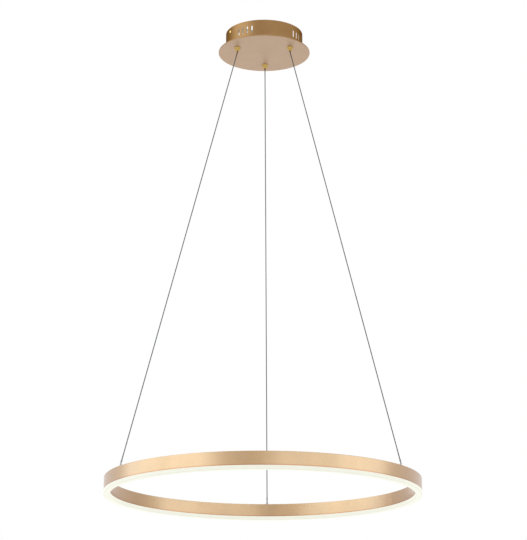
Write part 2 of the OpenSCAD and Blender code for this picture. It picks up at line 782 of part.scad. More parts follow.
module terminal_block() {
    color("ivory") difference() {
        translate([block_corner.x, block_corner.y, plate_top_z]) cube([block_l, block_w, block_h]);
        for (y = pole_y) {
            translate([block_corner.x - cut, y, block_hole_z])
                rotate([0, 90, 0]) cylinder(d = block_hole_d, h = block_hole_l + cut);
            translate([block_end_x - block_hole_l, y, block_hole_z])
                rotate([0, 90, 0]) cylinder(d = block_hole_d, h = block_hole_l + cut);
            for (x = [block_corner.x + block_screw_inset, block_end_x - block_screw_inset])
                translate([x, y, plate_top_z + block_h - block_screw_depth])
                    cylinder(d = block_screw_d + 2 * block_screw_gap, h = block_screw_depth + cut);
        }
        translate([block_stud.x, block_stud.y, plate_top_z - cut])
            cylinder(r = stud_hole_r, h = block_floor + 2 * cut);
        translate([block_stud.x, block_stud.y, plate_top_z + block_floor])
            cylinder(r = nut_af / 2 / cos(30) + hole_gap, h = block_h);
        for (i = [1 : 3])
            translate([
                block_corner.x - cut,
                block_corner.y + i * pole_w - block_groove.x / 2,
                plate_top_z + block_h - block_groove.y
            ])
                cube([block_l + 2 * cut, block_groove.x, block_groove.y + cut]);
    }
}

module terminal_screws() {
    color("silver") for (y = pole_y, x = [block_corner.x + block_screw_inset, block_end_x - block_screw_inset])
        translate([x, y, plate_top_z + block_h - block_screw_depth]) difference() {
            cylinder(d = block_screw_d, h = block_screw_h);
            translate([0, 0, block_screw_h])
                cube([block_screw_d + cut, driver_slot.x, 2 * driver_slot.y], center = true);
        }
}

module cable_clamp() {
    inner_r = supply_cable_d / 2 + clamp_play;
    color("silver") translate([clamp_place.x, clamp_place.y, plate_top_z]) difference() {
        translate([-clamp_w / 2, 0, 0]) rotate([90, 0, 90]) linear_extrude(clamp_w) difference() {
            union() {
                translate([-clamp_reach, 0]) square([2 * clamp_reach, clamp_t]);
                circle(inner_r + clamp_t);
            }
            circle(inner_r);
            translate([-clamp_reach - cut, -inner_r - clamp_t - cut])
                square([2 * (clamp_reach + cut), inner_r + clamp_t + cut]);
        }
        for (side = [-1, 1])
            translate([0, side * clamp_spacing / 2, -cut]) cylinder(r = stud_hole_r, h = clamp_t + 2 * cut);
    }
}

module earth_eyelet() {
    color("silver") translate([earth_place.x, earth_place.y, plate_top_z]) difference() {
        union() {
            cylinder(r = eyelet_r, h = eyelet_t);
            translate([-eyelet_r - eyelet_neck_l, -eyelet_barrel_r, 0])
                cube([eyelet_r, 2 * eyelet_barrel_r, eyelet_t]);
            translate([-eyelet_r - eyelet_barrel_l, 0, eyelet_barrel_r])
                rotate([0, 90, 0]) cylinder(r = eyelet_barrel_r, h = eyelet_barrel_l);
        }
        translate([0, 0, -cut]) cylinder(r = stud_hole_r, h = eyelet_t + 2 * cut);
        translate([-eyelet_r - eyelet_barrel_l - cut, 0, eyelet_barrel_r])
            rotate([0, 90, 0]) cylinder(r = lead_d / 2 + touch_gap, h = eyelet_barrel_l + 2 * cut);
        translate([0, 0, eyelet_t]) cylinder(r = nut_af / 2 / cos(30) + hole_gap, h = nut_h + cut);
    }
}

module canopy_lead(route) {
    tube_along(smooth_route(route, 2.5 * lead_d), lead_d / 2);
}

module live_lead() {
    color("saddlebrown") canopy_lead(live_route);
}

module neutral_lead() {
    color("royalblue") canopy_lead(neutral_route);
}

module earth_lead() {
    color("yellowgreen") canopy_lead(earth_route);
}

// Grippers

module gripper_body(a) {
    color("gold") at_azimuth(a, gripper_circle_r, plate_low_z) difference() {
        union() {
            translate([0, 0, -gripper_flange_t]) cylinder(d = gripper_flange_d, h = gripper_flange_t);
            translate([0, 0, -nose_h])
                cylinder(d1 = cone_low_d, d2 = cone_top_d, h = nose_h - gripper_flange_t);
            cylinder(r = stud_d / 2 - thread_gap, h = stud_l);
        }
        translate([0, 0, -nose_h - cut]) cylinder(r = nozzle_hole_r, h = nose_h);
        rotate_extrude() polygon([
            [0, seat_low], [seat_r(seat_low), seat_low], [bore_r, seat_top], [bore_r, cap_low],
            [cap_plug_r + thread_gap, cap_low], [cap_plug_r + thread_gap, stud_l + cut], [0, stud_l + cut]
        ]);
    }
}

module gripper_locknut(a) {
    color("goldenrod") at_azimuth(a, gripper_circle_r, plate_top_z) difference() {
        intersection() {
            cylinder(d = locknut_af / cos(30), h = locknut_h, $fn = 6);
            cylinder(d1 = locknut_af + 2 * locknut_h, d2 = locknut_af, h = locknut_h);
        }
        translate([0, 0, -cut]) cylinder(r = stud_d / 2, h = locknut_h + 2 * cut);
    }
}

module gripper_cap(a) {
    color("goldenrod") at_azimuth(a, gripper_circle_r, plate_low_z) difference() {
        union() {
            translate([0, 0, cap_low]) cylinder(r = cap_plug_r, h = cap_plug_h);
            translate([0, 0, stud_l]) cylinder(d = cap_head_d, h = cap_head_h);
        }
        translate([0, 0, cap_low - cut]) cylinder(r = cap_bore_r, h = cap_plug_h + cap_head_h + 2 * cut);
        for (side = [-1, 1])
            translate([side * cap_head_d / 2, 0, cap_top])
                cube([2 * cap_notch.x, cap_notch.y, 2 * cap_notch.z], center = true);
    }
}

module gripper_plunger(a) {
    color("dimgray") at_azimuth(a, gripper_circle_r, plate_low_z) difference() {
        rotate_extrude() polygon([
            [nozzle_bore_r, nozzle_low],
            [nozzle_r, nozzle_low],
            [nozzle_r, cage_low],
            [cage_r, cage_low],
            [cage_r, collar_low],
            [collar_r, collar_low],
            [collar_r, collar_low + collar_h],
            [nozzle_r, collar_low + collar_h],
            [nozzle_r, guide_top],
            [nozzle_bore_r, guide_top]
        ]);
        for (k = [0 : 2])
            rotate([0, 0, 120 * k]) translate([0, 0, ball_z]) rotate([90, 0, 0])
                cylinder(r = ball_r + touch_gap, h = bore_r);
    }
}

module gripper_balls(a) {
    color("lightgray") at_azimuth(a, gripper_circle_r, plate_low_z)
        for (k = [0 : 2])
            rotate([0, 0, 120 * k]) translate([0, -ball_centre_r, ball_z]) sphere(ball_r, $fn = 24);
}

module gripper_spring(a) {
    low = collar_low + collar_h + spring_wire_d / 2 + touch_gap;
    high = cap_low - spring_wire_d / 2 - touch_gap;
    steps = 10 * spring_turns;
    color("silver") at_azimuth(a, gripper_circle_r, plate_low_z) tube_along(
        [
            for (i = [0 : steps])
                [
                    spring_r * cos(36 * i),
                    spring_r * sin(36 * i),
                    low + (high - low) * i / steps
                ]
        ],
        spring_wire_d / 2, 6
    );
}

// Wires

module wire_tail(a, route) {
    inside = [
        for (z = [tail_low, 0, cap_low, cap_top, cap_top + tail_rise])
            around(a, gripper_circle_r, plate_low_z + z)
    ];
    color("lightgray") tube_along(smooth_route(concat(inside, route), 3 * wire_d), wire_r);
}

module wire(a) {
    color("lightgray") at_azimuth(a, gripper_circle_r, wire_exit_z)
        rotate([180 - wire_tilt, 0, 0]) cylinder(r = wire_r, h = wire_l, $fn = 32);
}

module crimp_bead(a) {
    color("darkgray") at_azimuth(a, ring_mid_r, nipple_top_z) rotate([-wire_tilt, 0, 0])
        translate([0, 0, bead_middle - bead_l / 2]) rotate_extrude() polygon([
            [bead_bore_r, 0],
            [bead_bore_r + bead_lip, 0],
            [bead_d / 2, bead_edge],
            [bead_d / 2, bead_l - bead_edge],
            [bead_bore_r + bead_lip, bead_l],
            [bead_bore_r, bead_l]
        ]);
}

module wire_end(a) {
    color("lightgray") at_azimuth(a, ring_mid_r) tube_along(
        [
            [0, 0, wire_end_z],
            [0, 0, (wire_end_z + nipple_top_z) / 2],
            [0, 0, nipple_top_z],
            [0, bead_top * sin(wire_tilt) / 2, nipple_top_z + bead_top * cos(wire_tilt) / 2],
            [0, bead_top * sin(wire_tilt), nipple_top_z + bead_top * cos(wire_tilt)]
        ],
        wire_r, 12
    );
}

// Ring

module ring_nipple(a) {
    color("lightsteelblue") at_azimuth(a, ring_mid_r, ring_top_z) difference() {
        union() {
            translate([0, 0, -profile_top - anchor_h])
                cylinder(r = nipple_thread_d / 2 - thread_gap, h = profile_top + anchor_h);
            cylinder(d = nipple_collar_d, h = nipple_collar_h);
            cylinder(d = nipple_stem_d, h = nipple_collar_h + nipple_stem_h);
        }
        translate([0, 0, -profile_top - anchor_h - cut])
            cylinder(r = nipple_bore_r, h = profile_top + anchor_h + nipple_collar_h + nipple_stem_h + 2 * cut);
    }
}

module anchor_nuts() {
    color("silver") for (a = wire_az)
        at_azimuth(a, ring_mid_r, anchor_low_z) difference() {
            translate([-anchor_l / 2, anchor_side_gap - channel_w / 2, 0])
                cube([anchor_l, channel_w - 2 * anchor_side_gap, anchor_h]);
            translate([0, 0, -cut]) cylinder(r = nipple_thread_d / 2, h = anchor_h + 2 * cut);
        }
}

module wire_stops() {
    color("darkgray") for (a = wire_az)
        at_azimuth(a, ring_mid_r, wire_stop_z) difference() {
            cylinder(r = wire_r + stop_wall, h = stop_h);
            translate([0, 0, -cut]) cylinder(r = wire_r + touch_gap / 2, h = stop_h + 2 * cut);
        }
}

module ring_profile() {
    lip_gap = channel_w - 2 * lip_reach;
    color("burlywood") difference() {
        rotate_extrude($fn = 360) translate([ring_mid_r, profile_low_z]) difference() {
            rounded_far_side(ring_w, profile_h, profile_edge_r);
            translate([-channel_w / 2, lip_h]) square([channel_w, channel_h - lip_h]);
            translate([-lip_gap / 2, -cut]) square([lip_gap, lip_h + 2 * cut]);
            translate([-channel_w / 2, channel_h + web_t]) square([channel_w, chamber_h]);
        }
        at_azimuth(seam_az, ring_mid_r, profile_low_z + profile_h / 2)
            cube([seam_gap, ring_w + 2 * cut, profile_h + 2 * cut], center = true);
        for (a = wire_az)
            at_azimuth(a, ring_mid_r, chamber_top_z - cut)
                cylinder(r = nipple_thread_d / 2, h = profile_top + 2 * cut);
        for (a = [wire_az[0], wire_az[1]])
            at_azimuth(a, ring_mid_r, web_low_z - cut)
                cylinder(r = ring_lead_d / 2 + web_hole_gap, h = web_t + 2 * cut);
        for (side = [-1, 1]) at_joiner_screw(side) joiner_screw_outline(hole_gap);
    }
}

module at_joiner_screw(side) {
    at_azimuth(seam_az + side * joiner_screw_offset / ring_mid_r * 180 / PI, ring_mid_r, web_low_z) children();
}

// Countersunk screw pointing up, widened by a gap
module joiner_screw_outline(gap) {
    head_r = joiner_screw_d / 2 + web_t;
    translate([0, 0, -gap]) cylinder(r1 = head_r + gap, r2 = joiner_screw_d / 2 + gap, h = web_t);
    cylinder(r = joiner_screw_d / 2 + gap, h = web_t + joiner_screw_grip);
}

module joiner_screws() {
    color("silver") for (side = [-1, 1]) at_joiner_screw(side) joiner_screw_outline(-thread_gap);
}

module ring_joiner() {
    angle = joiner_l / ring_mid_r * 180 / PI;
    color("silver") difference() {
        arc_at_seam(angle) translate([ring_mid_r - channel_w / 2 + joiner_gap, web_top_z])
            square([channel_w - 2 * joiner_gap, chamber_top_z - web_top_z - joiner_gap]);
        for (side = [-1, 1])
            at_joiner_screw(side) cylinder(r = joiner_screw_d / 2, h = web_t + joiner_screw_grip + screw_tip_gap);
    }
}

module diffuser() {
    tongue_w = channel_w - 2 * lip_reach - 2 * touch_gap;
    inner_w = tongue_w - 2 * tongue_wall;
    barb_low = lip_h + barb_play;
    barb_high = barb_low + barb_h;
    half_w = tongue_w / 2;
    barb_w = half_w + barb_reach;
    color("ivory") rotate_extrude($fn = 360) translate([ring_mid_r, profile_low_z]) difference() {
        union() {
            mirror([0, 1]) rounded_far_side(ring_w, diffuser_h, diffuser_edge_r);
            polygon([
                [-half_w, -tongue_root], [half_w, -tongue_root],
                [half_w, barb_low], [barb_w, barb_low], [half_w, barb_high],
                [half_w, tongue_h], [-half_w, tongue_h],
                [-half_w, barb_high], [-barb_w, barb_low], [-half_w, barb_low]
            ]);
        }
        translate([-inner_w / 2, diffuser_face - diffuser_h])
            square([inner_w, diffuser_h - diffuser_face + tongue_h + cut]);
    }
}

module led_strip() {
    angle = 360 - strip_end_gap / ring_mid_r * 180 / PI;
    color("white") rotate([0, 0, seam_az - 90 + (360 - angle) / 2])
        rotate_extrude(angle = angle, $fn = 360)
            translate([ring_mid_r - strip_w / 2, web_low_z - strip_t]) square([strip_w, strip_t]);
}

module led_chips() {
    color("khaki") for (i = [0 : led_count - 1])
        at_azimuth(seam_az + (i + 0.5) * 360 / led_count, ring_mid_r, web_low_z - strip_t - chip_size.z / 2)
            cube(chip_size, center = true);
}

module ring_leads() {
    color("firebrick") for (a = [wire_az[0], wire_az[1]])
        at_azimuth(a, ring_mid_r, web_low_z) cylinder(d = ring_lead_d, h = wire_end_z - web_low_z);
}

ceiling_bracket();
side_screws();
canopy_drum();
canopy_plate();
plate_nuts();
driver_base();
driver_cover();
driver_board();
terminal_block();
terminal_screws();
cable_clamp();
earth_eyelet();
live_lead();
neutral_lead();
earth_lead();
gripper_body(wire_az[0]);  // gripper_body_left
gripper_body(wire_az[1]);  // gripper_body_right
gripper_body(wire_az[2]);  // gripper_body_rear
gripper_locknut(wire_az[0]);  // gripper_locknut_left
gripper_locknut(wire_az[1]);  // gripper_locknut_right
gripper_locknut(wire_az[2]);  // gripper_locknut_rear
gripper_cap(wire_az[0]);  // gripper_cap_left
gripper_cap(wire_az[1]);  // gripper_cap_right
gripper_cap(wire_az[2]);  // gripper_cap_rear
gripper_plunger(wire_az[0]);  // gripper_plunger_left
gripper_plunger(wire_az[1]);  // gripper_plunger_right
gripper_plunger(wire_az[2]);  // gripper_plunger_rear
gripper_balls(wire_az[0]);  // gripper_balls_left
gripper_balls(wire_az[1]);  // gripper_balls_right
gripper_balls(wire_az[2]);  // gripper_balls_rear
gripper_spring(wire_az[0]);  // gripper_spring_left
gripper_spring(wire_az[1]);  // gripper_spring_right
gripper_spring(wire_az[2]);  // gripper_spring_rear
wire_tail(wire_az[0], left_tail_route);  // wire_tail_left
wire_tail(wire_az[1], right_tail_route);  // wire_tail_right
wire_tail(wire_az[2], rear_tail_route);  // wire_tail_rear
wire(wire_az[0]);  // wire_left
wire(wire_az[1]);  // wire_right
wire(wire_az[2]);  // wire_rear
crimp_bead(wire_az[0]);  // crimp_bead_left
crimp_bead(wire_az[1]);  // crimp_bead_right
crimp_bead(wire_az[2]);  // crimp_bead_rear
wire_end(wire_az[0]);  // wire_end_left
wire_end(wire_az[1]);  // wire_end_right
wire_end(wire_az[2]);  // wire_end_rear
ring_nipple(wire_az[0]);  // ring_nipple_left
ring_nipple(wire_az[1]);  // ring_nipple_right
ring_nipple(wire_az[2]);  // ring_nipple_rear
anchor_nuts();
wire_stops();
ring_profile();
ring_joiner();
joiner_screws();
diffuser();
led_strip();
led_chips();
ring_leads();
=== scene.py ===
"""Ring pendant light: the looks of a glowing gold ring on three wires below a round canopy.

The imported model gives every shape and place. This script dresses its pieces, makes the suspension
wires and the finer forms, and adds the studio round them. All sizes are in metres.
"""

import json
import logging
import math
from dataclasses import dataclass, field
from enum import Enum
from typing import Sequence

import bmesh
import bpy
from mathutils import Matrix, Vector

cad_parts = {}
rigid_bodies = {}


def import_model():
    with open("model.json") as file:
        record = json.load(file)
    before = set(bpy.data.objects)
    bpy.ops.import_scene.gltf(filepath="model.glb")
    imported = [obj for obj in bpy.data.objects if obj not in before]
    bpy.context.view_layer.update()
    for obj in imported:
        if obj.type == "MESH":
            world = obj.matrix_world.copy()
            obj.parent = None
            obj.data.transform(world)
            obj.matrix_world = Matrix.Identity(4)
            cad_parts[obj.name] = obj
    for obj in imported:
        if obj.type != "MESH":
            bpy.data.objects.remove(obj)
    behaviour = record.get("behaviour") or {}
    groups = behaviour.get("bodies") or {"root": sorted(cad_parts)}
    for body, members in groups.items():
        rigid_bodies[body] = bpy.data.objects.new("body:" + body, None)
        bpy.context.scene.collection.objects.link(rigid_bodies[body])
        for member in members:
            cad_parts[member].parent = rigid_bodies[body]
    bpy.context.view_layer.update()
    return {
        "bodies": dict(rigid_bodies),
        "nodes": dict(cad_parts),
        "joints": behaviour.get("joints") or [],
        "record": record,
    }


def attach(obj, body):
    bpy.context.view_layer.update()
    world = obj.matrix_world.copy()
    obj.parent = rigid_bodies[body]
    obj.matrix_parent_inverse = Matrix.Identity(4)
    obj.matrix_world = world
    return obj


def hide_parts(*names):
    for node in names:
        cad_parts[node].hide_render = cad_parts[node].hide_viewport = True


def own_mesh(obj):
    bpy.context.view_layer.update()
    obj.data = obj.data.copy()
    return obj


LOG = logging.getLogger("pendant")
Colour = tuple[float, float, float]
Socket = bpy.types.NodeSocket
Mesh = bmesh.types.BMesh
Material = bpy.types.Material

# Points that lie closer than this are one point
MERGE = 1e-6
FINE_MERGE = 1e-7


def polar(azimuth: float, radius: float, height: float) -> Vector:
    """Place a point by its azimuth in radians, its distance from the middle line and its height."""
    return Vector((radius * math.sin(azimuth), -radius * math.cos(azimuth), height))


class Wire(Enum):
    """The three suspension wires, each with the azimuth at which it hangs, from -Y towards +X."""

    LEFT = -60.0
    RIGHT = 60.0
    REAR = 180.0

    @property
    def label(self) -> str:
        """Name of the wire as it ends the names of its pieces."""
        return self.name.lower()

    def point(self, radius: float, height: float) -> Vector:
        """Place a point on the wire's azimuth."""
        return polar(math.radians(self.value), radius, height)


class Grain(Enum):
    """How a metal surface was worked."""

    BLASTED = "blasted"
    TURNED = "turned"
    ROLLED = "rolled"


def linear_share(share: float) -> float:
    """Make one share of a screen colour linear, both from 0 to 1."""
    return share / 12.92 if share <= 0.04045 else ((share + 0.055) / 1.055) ** 2.4


def linear(*shares: int) -> Colour:
    """Turn a screen colour of 0 to 255 into the linear colour that a shader takes."""
    return tuple(linear_share(share / 255) for share in shares)


def shade(colour: Colour, factor: float) -> Colour:
    """Make a linear colour lighter, by a factor above 1, or darker."""
    return tuple(min(1.0, part * factor) for part in colour)


class NodeSheet:
    """A new material and the few kinds of node that its patterns use."""

    def __init__(self, name: str) -> None:
        """Start the material with a plain shader.

        Args:
            name: Name of the material.
        """
        self.material = bpy.data.materials.new(name)
        self.material.use_nodes = True
        self.tree = self.material.node_tree
        self.shader = self.tree.nodes["Principled BSDF"]

    def add(self, kind: str, **settings: object) -> bpy.types.Node:
        """Add a node.

        Args:
            kind: The node's type.
            settings: Values for the node's own properties.

        Returns:
            The node.
        """
        node = self.tree.nodes.new(kind)
        for key, value in settings.items():
            setattr(node, key, value)
        return node

    def join(self, start: Socket, end: Socket) -> None:
        """Link one socket to another."""
        self.tree.links.new(start, end)

    def own(self, kind: str) -> Socket:
        """Give the piece's own coordinates of a kind: Object, Normal or UV."""
        return self.add("ShaderNodeTexCoord").outputs[kind]

    def split(self, vector: Socket) -> Sequence[Socket]:
        """Split coordinates into their three numbers.

        Args:
            vector: The coordinates.

        Returns:
            The three numbers.
        """
        node = self.add("ShaderNodeSeparateXYZ")
        self.join(vector, node.inputs[0])
        return node.outputs

    def place(self, centre: Sequence[float] = (0, 0, 0)) -> Socket:
        """Give the piece's own coordinates, counted from a centre.

        Args:
            centre: The point that becomes zero.

        Returns:
            The coordinates.
        """
        mapping = self.add("ShaderNodeMapping")
        mapping.inputs["Location"].default_value = [-value for value in centre]
        self.join(self.own("Object"), mapping.inputs["Vector"])
        return mapping.outputs["Vector"]

    def feed(self, node: bpy.types.Node, values: Sequence[object]) -> Socket:
        """Give a node its inputs.

        Args:
            node: The node.
            values: Numbers or sockets.

        Returns:
            The node's first output.
        """
        for socket, value in zip(node.inputs, values):
            if isinstance(value, Socket):
                self.join(value, socket)
            else:
                socket.default_value = value
        return node.outputs[0]

    def maths(self, operation: str, *values: object) -> Socket:
        """Work out a number from other numbers or sockets."""
        return self.feed(self.add("ShaderNodeMath", operation=operation), values)

    def combine(self, *values: object) -> Socket:
        """Make coordinates from three numbers or sockets."""
        return self.feed(self.add("ShaderNodeCombineXYZ"), values)

    def average(self, *values: Socket) -> Socket:
        """Take the mean of several patterns.

        Args:
            values: The patterns.

        Returns:
            Their mean, with its spread widened back to that of one pattern.
        """
        total = values[0]
        for value in values[1:]:
            total = self.maths("ADD", total, value)
        mean = self.maths("DIVIDE", total, float(len(values)))
        return self.spread(mean, 0.0, 1.0, 0.35, 0.65)

    def around(self, vector: Socket) -> tuple[Socket, Socket, Socket]:
        """Turn coordinates into radius, angle and height about the vertical line through zero.

        Args:
            vector: The coordinates.

        Returns:
            Radius, angle and height.
        """
        x, y, z = self.split(vector)
        square = self.maths("ADD", self.maths("MULTIPLY", x, x), self.maths("MULTIPLY", y, y))
        return self.maths("SQRT", square), self.maths("ARCTAN2", y, x), z

    def noise(self, vector: Socket, scale: float, detail: float = 3.0, rough: float = 0.5) -> Socket:
        """Add a noise pattern.

        Args:
            vector: Coordinates to read.
            scale: Waves in a metre.
            detail: Number of finer layers.
            rough: Strength of the finer layers.

        Returns:
            The noise, from 0 to 1.
        """
        node = self.add("ShaderNodeTexNoise")
        node.inputs["Scale"].default_value = scale
        node.inputs["Detail"].default_value = detail
        node.inputs["Roughness"].default_value = rough
        self.join(vector, node.inputs["Vector"])
        return node.outputs["Fac"]

    def spread(
        self, value: Socket, low: float, high: float, start: float = 0.3, end: float = 0.7
    ) -> Socket:
        """Map a pattern's middle range onto another range.

        Args:
            value: The pattern.
            low: Result at the start.
            high: Result at the end.
            start: Pattern value for the low result.
            end: Pattern value for the high result.

        Returns:
            The mapped pattern.
        """
        node = self.add("ShaderNodeMapRange")
        for name, number in (("From Min", start), ("From Max", end), ("To Min", low), ("To Max", high)):
            node.inputs[name].default_value = number
        self.join(value, node.inputs["Value"])
        return node.outputs["Result"]

    def tint(self, value: Socket, stops: Sequence[tuple[float, Colour]]) -> Socket:
        """Colour a pattern.

        Args:
            value: The pattern, from 0 to 1.
            stops: Places and colours.

        Returns:
            The colour.
        """
        node = self.add("ShaderNodeValToRGB")
        ramp = node.color_ramp
        while len(ramp.elements) < len(stops):
            ramp.elements.new(0.5)
        for element, (position, colour) in zip(ramp.elements, stops):
            element.position = position
            element.color = (*colour, 1.0)
        self.join(value, node.inputs["Fac"])
        return node.outputs["Color"]

    def blend(self, share: Socket, first: Socket, second: Socket) -> Socket:
        """Mix two colours.

        Args:
            share: Share of the second colour.
            first: The first colour.
            second: The second colour.

        Returns:
            The mixed colour.
        """
        node = self.add("ShaderNodeMix", data_type="RGBA")
        self.join(share, node.inputs["Factor"])
        self.join(first, node.inputs["A"])
        self.join(second, node.inputs["B"])
        return node.outputs["Result"]

    def paint(self, colour: Socket, rough: Socket) -> None:
        """Let patterns set the shader's colour and roughness."""
        self.join(colour, self.shader.inputs["Base Color"])
        self.join(rough, self.shader.inputs["Roughness"])

    def raise_surface(self, height: Socket, depth: float) -> None:
        """Let a pattern raise the surface.

        Args:
            height: The pattern, from 0 to 1.
            depth: Height of its peaks in metres.
        """
        node = self.add("ShaderNodeBump")
        node.inputs["Distance"].default_value = depth
        node.inputs["Strength"].default_value = 1.0
        self.join(height, node.inputs["Height"])
        self.join(node.outputs["Normal"], self.shader.inputs["Normal"])

    def set(self, **values: object) -> None:
        """Set the shader's own sockets, with underscores for the spaces in their names."""
        for key, value in values.items():
            self.shader.inputs[key.replace("_", " ")].default_value = value


@dataclass(frozen=True)
class Rim:
    """A band of painted shade and painted warm reflection along one edge of a piece, between two heights."""

    start: float
    end: float
    colour: Colour


@dataclass(frozen=True)
class Lining:
    """Another tone inside a radius and above a height."""

    radius: float
    low: float
    colour: Colour
    blur: float = 0.0001


@dataclass(frozen=True)
class Metal:
    """A metal finish with the grain that its working left."""

    name: str
    colour: Colour
    grain: Grain = Grain.BLASTED
    roughness: float = 0.35
    metallic: float = 1.0
    grain_size: float = 0.0002
    depth: float = 0.000004
    drift: float = 0.06
    coat: float = 0.0
    coat_roughness: float = 0.3
    coat_index: float = 1.5
    edge: Colour = (1.0, 1.0, 1.0)
    # side: painted shade, a darker tone for faces that stand upright
    side: Colour | None = None
    # rim: a band of painted shade and painted glow along one edge
    rim: Rim | None = None
    lining: Lining | None = None
    centre: tuple[float, float, float] = (0.0, 0.0, 0.0)
    wear: float = 0.15
    cloud_scale: float = 26.0
    fleck_scale: float = 420.0
    turned_length: float = 6.0
    rolled_length: float = 14.0

    def stops(self, colour: Colour) -> list[tuple[float, Colour]]:
        """Give the darker and the lighter tone of a colour with their places in a pattern."""
        return [(0.2, shade(colour, 1 - self.drift)), (0.8, shade(colour, 1 + self.drift))]

    def make(self) -> Material:
        """Build the material.

        Returns:
            The material.
        """
        sheet = NodeSheet(self.name)
        place = sheet.place(self.centre)
        scale = 1 / self.grain_size
        if self.grain is Grain.BLASTED:
            grain = sheet.noise(place, scale, detail=2.0, rough=0.6)
        else:
            radius, angle, height = sheet.around(place)
            length = self.turned_length if self.grain is Grain.TURNED else self.rolled_length
            lines = sheet.combine(radius, height, sheet.maths("MULTIPLY", angle, length / scale))
            grain = sheet.noise(lines, scale, rough=0.65)
        cloud = sheet.noise(place, self.cloud_scale)
        fleck = sheet.noise(place, self.fleck_scale, detail=2.0)
        tone = sheet.average(cloud, fleck, grain)
        colour = sheet.tint(tone, self.stops(self.colour))
        # Painted shade: faces that stand upright blend to the darker side tone, faces turned up or down keep
        # the main tone
        if self.side:
            upright = sheet.split(sheet.own("Normal"))[2]
            flat = sheet.spread(sheet.maths("ABSOLUTE", upright), 0.0, 1.0, start=0.2, end=0.9)
            colour = sheet.blend(flat, sheet.tint(tone, self.stops(self.side)), colour)
        # Painted shade and glow: near the lower edge the colour blends to a darker warm tone, standing in for
        # the groove's shadow and the diffuser's reflected glow
        if self.rim:
            _, _, height = sheet.around(sheet.place())
            shade_and_glow_share = sheet.spread(height, 0.0, 1.0, self.rim.start, self.rim.end)
            colour = sheet.blend(shade_and_glow_share, sheet.tint(tone, self.stops(self.rim.colour)), colour)
        if self.lining:
            lining, blur = self.lining, self.lining.blur
            radius, _, height = sheet.around(sheet.place())
            inside = sheet.spread(radius, 1.0, 0.0, lining.radius - blur, lining.radius + blur)
            above = sheet.spread(height, 0.0, 1.0, lining.low - blur, lining.low + blur)
            bare = sheet.tint(tone, self.stops(lining.colour))
            colour = sheet.blend(sheet.maths("MULTIPLY", inside, above), colour, bare)
        rub = sheet.maths("ADD", sheet.maths("MULTIPLY", fleck, 0.5), sheet.maths("MULTIPLY", grain, 0.5))
        low, high = self.roughness * (1 - self.wear), self.roughness * (1 + self.wear)
        sheet.paint(colour, sheet.spread(rub, low, high))
        sheet.raise_surface(grain, self.depth)
        sheet.set(Metallic=self.metallic, Specular_Tint=(*self.edge, 1.0), Coat_Weight=self.coat)
        sheet.set(Coat_Roughness=self.coat_roughness, Coat_IOR=self.coat_index)
        return sheet.material


@dataclass(frozen=True)
class Plastic:
    """A moulded plastic with a fine spark-eroded texture."""

    name: str
    colour: Colour
    roughness: float = 0.45
    texture_size: float = 0.0004
    depth: float = 0.000008
    drift: float = 0.05
    wear: float = 0.1
    cloud_scale: float = 60.0

    def make(self) -> Material:
        """Build the material.

        Returns:
            The material.
        """
        sheet = NodeSheet(self.name)
        place = sheet.place()
        texture = sheet.noise(place, 1 / self.texture_size, detail=2.0, rough=0.6)
        cloud = sheet.noise(place, self.cloud_scale)
        stops = [(0.3, shade(self.colour, 1 - self.drift)), (0.7, shade(self.colour, 1 + self.drift))]
        low, high = self.roughness * (1 - self.wear), self.roughness * (1 + self.wear)
        sheet.paint(sheet.tint(cloud, stops), sheet.spread(texture, low, high))
        sheet.raise_surface(texture, self.depth)
        return sheet.material


@dataclass(frozen=True)
class OpalAcrylic:
    """Opal acrylic that glows evenly, a little stronger below each light source."""

    name: str = "opal_acrylic"
    colour: Colour = (0.03, 0.03, 0.027)
    glow: Colour = (0.97, 0.975, 0.84)
    strength: float = 0.85
    sources: int = 90
    middle_radius: float = 0.294
    half_width: float = 0.006
    lower_face: float = -0.943
    edge_loss: float = 0.12
    corner_height: float = 0.0012
    ripple: float = 0.06
    evenness: float = 0.97
    cloud_scale: float = 30.0
    satin_scale: float = 2600.0

    def make(self) -> Material:
        """Build the material.

        Returns:
            The material.
        """
        sheet = NodeSheet(self.name)
        place = sheet.place()
        radius, angle, height = sheet.around(place)
        wave = sheet.maths("COSINE", sheet.maths("MULTIPLY", angle, float(self.sources)))
        cloud = sheet.noise(place, self.cloud_scale, detail=2.0)
        level = sheet.maths("ADD", sheet.maths("MULTIPLY", wave, self.ripple), cloud)
        off = sheet.maths("ABSOLUTE", sheet.maths("SUBTRACT", radius, self.middle_radius))
        corner = sheet.spread(off, 0.0, 1.0, self.half_width * 0.6, self.half_width)
        low = sheet.spread(height, 1.0, 0.0, self.lower_face, self.lower_face + self.corner_height)
        loss = sheet.maths("MULTIPLY", sheet.maths("MULTIPLY", corner, low), self.edge_loss)
        even = sheet.spread(level, self.evenness, 1.0)
        fade = sheet.maths("MULTIPLY", even, sheet.maths("SUBTRACT", 1.0, loss))
        glow = sheet.tint(fade, [(0.0, (0.0, 0.0, 0.0)), (1.0, self.glow)])
        sheet.join(glow, sheet.shader.inputs["Emission Color"])
        stops = [(0.3, shade(self.colour, self.evenness)), (0.7, self.colour)]
        satin = sheet.noise(place, self.satin_scale, detail=2.0)
        sheet.paint(sheet.tint(cloud, stops), sheet.spread(satin, 0.46, 0.58))
        sheet.raise_surface(satin, depth=0.000003)
        sheet.set(Emission_Strength=self.strength, IOR=1.49)
        return sheet.material


